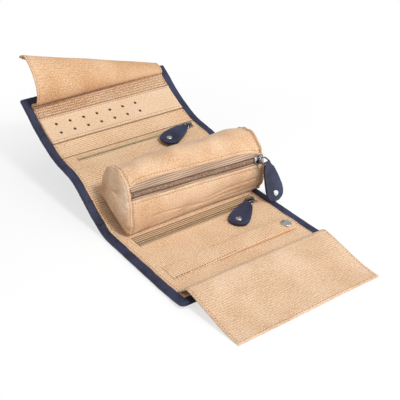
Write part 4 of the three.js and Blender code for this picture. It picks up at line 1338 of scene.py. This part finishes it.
def pull(name, bodies, axes, pivot, slider_along, slider, bridge_across, bar, tilts):
    """A whole pull at its pivot: slider, loop, tab, its stitches and its stud, each on its body.

    Axes are along the pull, along its bar and out of the face. Bar is the loop's offset along the
    bar and how heavy its wire is, and tilts are the loop's and the tab's in degrees.
    """
    slider_body, loop_body, tab_body = bodies
    (offset, heft), (loop_tilt, tab_tilt) = bar, tilts
    points, faces = slider_mesh(*slider, bridge_across)
    points = placed(points, pivot, slider_along, np.cross(axes[2], slider_along), axes[2])
    cast = new_piece("slider_cast_" + name, points, faces, gunmetal)
    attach(cast, slider_body)
    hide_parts("slider_" + name)
    points, faces = loop_mesh(offset, heft)
    points = placed(tilted(points, loop_tilt), pivot, *axes)
    ring = new_piece("loop_wire_" + name, points, faces, gunmetal)
    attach(ring, loop_body)
    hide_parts("loop_" + name)
    outer = tilted([[loop_reach, offset, 0]], loop_tilt)[0]

    def on_tab(points):
        """Local points of the tab, tilted at the loop's outer bar and set into the row frame."""
        return placed(tilted(points, tab_tilt, outer), pivot, *axes)

    points, faces = tab_mesh()
    leather = new_piece("tab_leather_" + name, on_tab(points), faces, navy)
    painted = at_rim(leather, len(tab_v), tab_columns)
    leather.data.materials.append(edge_paint)
    leather.data.polygons.foreach_set("material_index", painted.astype(np.int32))
    leather.data.polygons.foreach_set("use_smooth", ~painted)
    foot, stud_at, head = on_tab(
        [[0, 0, 0], [tab_start + stud_share * tab_length, 0, tab_thickness / 2], [0, 0, 1]]
    )
    up = head - foot
    lines = [(on_tab(row), np.tile(up, (len(row), 1))) for row in tab_rows()]
    sewn = stitches(
        "tab_stitches_" + name, lines, navy_thread, length=1.9 * mm, pitch=2.6 * mm, radius=0.26 * mm
    )
    stud = lathe("tab_stud_domed_" + name, stud_profile, stud_at, up, nickel, 32)
    for piece, slot in ((leather, "navy_leather"), (sewn, "navy_leather"), (stud, "nickel")):
        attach(piece, tab_body)
    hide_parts("tab_" + name)
    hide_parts("tab_stud_" + name)


def sheet_axes(bar):
    """A pull's axes on the sheet, from the axis its loop turns about."""
    bar = np.asarray(bar)
    slope = math.atan2(-bar[2], -bar[1])
    normal = np.array([0, -math.sin(slope), math.cos(slope)])
    return np.cross(bar, normal), bar, normal


pocket_slider, pouch_slider = (10 * mm, 6.6 * mm), (13 * mm, 9.2 * mm)
rightward_axis = np.array([1.0, 0, 0])
back_hinge, front_hinge = joint["pull_back_hinge"], joint["pull_front_hinge"]
back_axes, front_axes = sheet_axes(-np.array(back_hinge["axis"])), sheet_axes(front_hinge["axis"])
face_lean = math.radians(20.87)
face_outward = np.array([0, -math.cos(face_lean), math.sin(face_lean)])
barrel_lift, barrel_bar = joint["loop_barrel_lift"], -np.array(joint["loop_barrel_lift"]["axis"])
barrel_axes = (np.cross(barrel_bar, face_outward), barrel_bar, face_outward)
pull(
    "back", ("slider_back", "pull_back", "pull_back"), back_axes, back_hinge["pos_m"],
    rightward_axis, pocket_slider, bridge_across=False, bar=(0.0, 1.0), tilts=(6, 0.8),
)
pull(
    "front", ("slider_front", "pull_front", "pull_front"), front_axes, front_hinge["pos_m"],
    rightward_axis, pocket_slider, bridge_across=False, bar=(0.0, 1.0), tilts=(-4, -1.2),
)
pull(
    "barrel", ("slider_barrel", "loop_barrel", "tab_barrel"), barrel_axes, barrel_lift["pos_m"],
    np.array(joint["slider_barrel_slide"]["axis"]), pouch_slider, bridge_across=True,
    bar=(2.6 * mm, 1.3), tilts=(56, -1.5),
)


# The table: a white floor that runs to the horizon under a white sky. What the camera sees of it
# glows in part, and wholly so away from the roll, so it is white there and keeps the roll's shadow.
white = ("Color", (1, 1, 1, 1))
floor_material, floor_tree, floor_shader = simple_material("floor", (0.96, 0.96, 0.96), 0.9)
floor_output = floor_tree.nodes["Material Output"].inputs["Surface"]
floor_glow = add_node(floor_tree, "ShaderNodeEmission", [white, ("Strength", 1.0)])
from_middle = add_node(floor_tree, "ShaderNodeVectorMath", links=[(0, own_place(floor_tree))])
from_middle.operation = "LENGTH"
glow_range = [("From Min", 0.2), ("From Max", 0.42), ("To Min", 0.68), ("To Max", 1.0)]
glow_share = add_node(
    floor_tree, "ShaderNodeMapRange", glow_range, [("Value", from_middle.outputs["Value"])]
)


def seen_by_camera(tree):
    """One for what the camera sees itself, and zero for light that falls on other things."""
    return add_node(tree, "ShaderNodeLightPath").outputs["Is Camera Ray"]


def mixed_shader(tree, share, plain, shown, output):
    """Two shaders mixed by share, joined to the output."""
    links = [(0, share), (1, plain.outputs[0]), (2, shown.outputs[0])]
    tree.links.new(add_node(tree, "ShaderNodeMixShader", (), links).outputs[0], output)


floor_links = [(0, seen_by_camera(floor_tree)), (1, glow_share.outputs["Result"])]
floor_camera = add_node(floor_tree, "ShaderNodeMath", (), floor_links)
floor_camera.operation = "MULTIPLY"
mixed_shader(floor_tree, floor_camera.outputs[0], floor_shader, floor_glow, floor_output)
floor_half, floor_z = 3, -0.3 * mm
floor_corners = [[x, y, floor_z] for x, y in ((-1, -1), (1, -1), (1, 1), (-1, 1))]
floor_corners = np.array(floor_corners) * [floor_half, floor_half, 1]
floor = new_piece("floor", floor_corners, [np.array([[0, 1, 2, 3]])], floor_material)
world = bpy.data.worlds.new("studio")
bpy.context.scene.world = world
world.use_nodes = True
sky = world.node_tree
lit_sky = sky.nodes["Background"]
lit_sky.inputs["Color"].default_value = (1, 1, 1, 1)
lit_sky.inputs["Strength"].default_value = 0.5
seen_sky = add_node(sky, "ShaderNodeBackground", [white, ("Strength", 1.0)])
sky_output = sky.nodes["World Output"].inputs["Surface"]
mixed_shader(sky, seen_by_camera(sky), lit_sky, seen_sky, sky_output)


def soft_lamp(name, place, aim, size, power):
    """A square area lamp at a place, turned to its aim."""
    lamp = bpy.data.lights.new(name, "AREA")
    lamp.size, lamp.energy = size, power
    made = bpy.data.objects.new(name, lamp)
    made.location = place
    direction = unit(np.asarray(aim, float) - np.asarray(place, float))
    yaw = math.atan2(direction[1], direction[0]) - math.pi / 2
    made.rotation_euler = (math.acos(-direction[2]), 0, yaw)
    bpy.context.collection.objects.link(made)


soft_lamp("key", (0.1, -0.95, 1.4), (0, 0.02, 0), 0.3, 16)
soft_lamp("fill", (0.6, -1.05, 0.5), (0, 0, 0), 1.0, 6)


# The camera: at the photograph's viewing angle, fitted to the roll's outline. Its focal length and
# its shift are in pixels of a picture 400 across.
azimuth, elevation, roll = math.radians(-37.31), math.radians(33.01), math.radians(2.29)
distance, focal_px, shift_x_px, shift_y_px, picture = 890 * mm, 802, 11.7, 14.0, 400
level = math.cos(elevation)
backward = np.array(
    [math.sin(azimuth) * level, -math.cos(azimuth) * level, math.sin(elevation)]
)
rightward = np.array([math.cos(azimuth), math.sin(azimuth), 0])
above = np.cross(backward, rightward)
rolled_right = math.cos(roll) * rightward + math.sin(roll) * above
rolled_up = math.cos(roll) * above - math.sin(roll) * rightward
lens = bpy.data.cameras.new("camera")
lens.sensor_width = 36
lens.lens = focal_px / picture * lens.sensor_width
lens.shift_x, lens.shift_y = shift_x_px / picture, shift_y_px / picture
camera = bpy.data.objects.new("camera", lens)
matrix = np.eye(4)
matrix[:3, :3] = np.stack([rolled_right, rolled_up, backward], -1)
matrix[:3, 3] = np.array([0, 0, sheet_thickness]) + backward * distance
bpy.context.collection.objects.link(camera)
camera.matrix_world = Matrix(matrix.tolist())
bpy.context.scene.camera = camera
bpy.context.scene.view_settings.view_transform = "Standard"
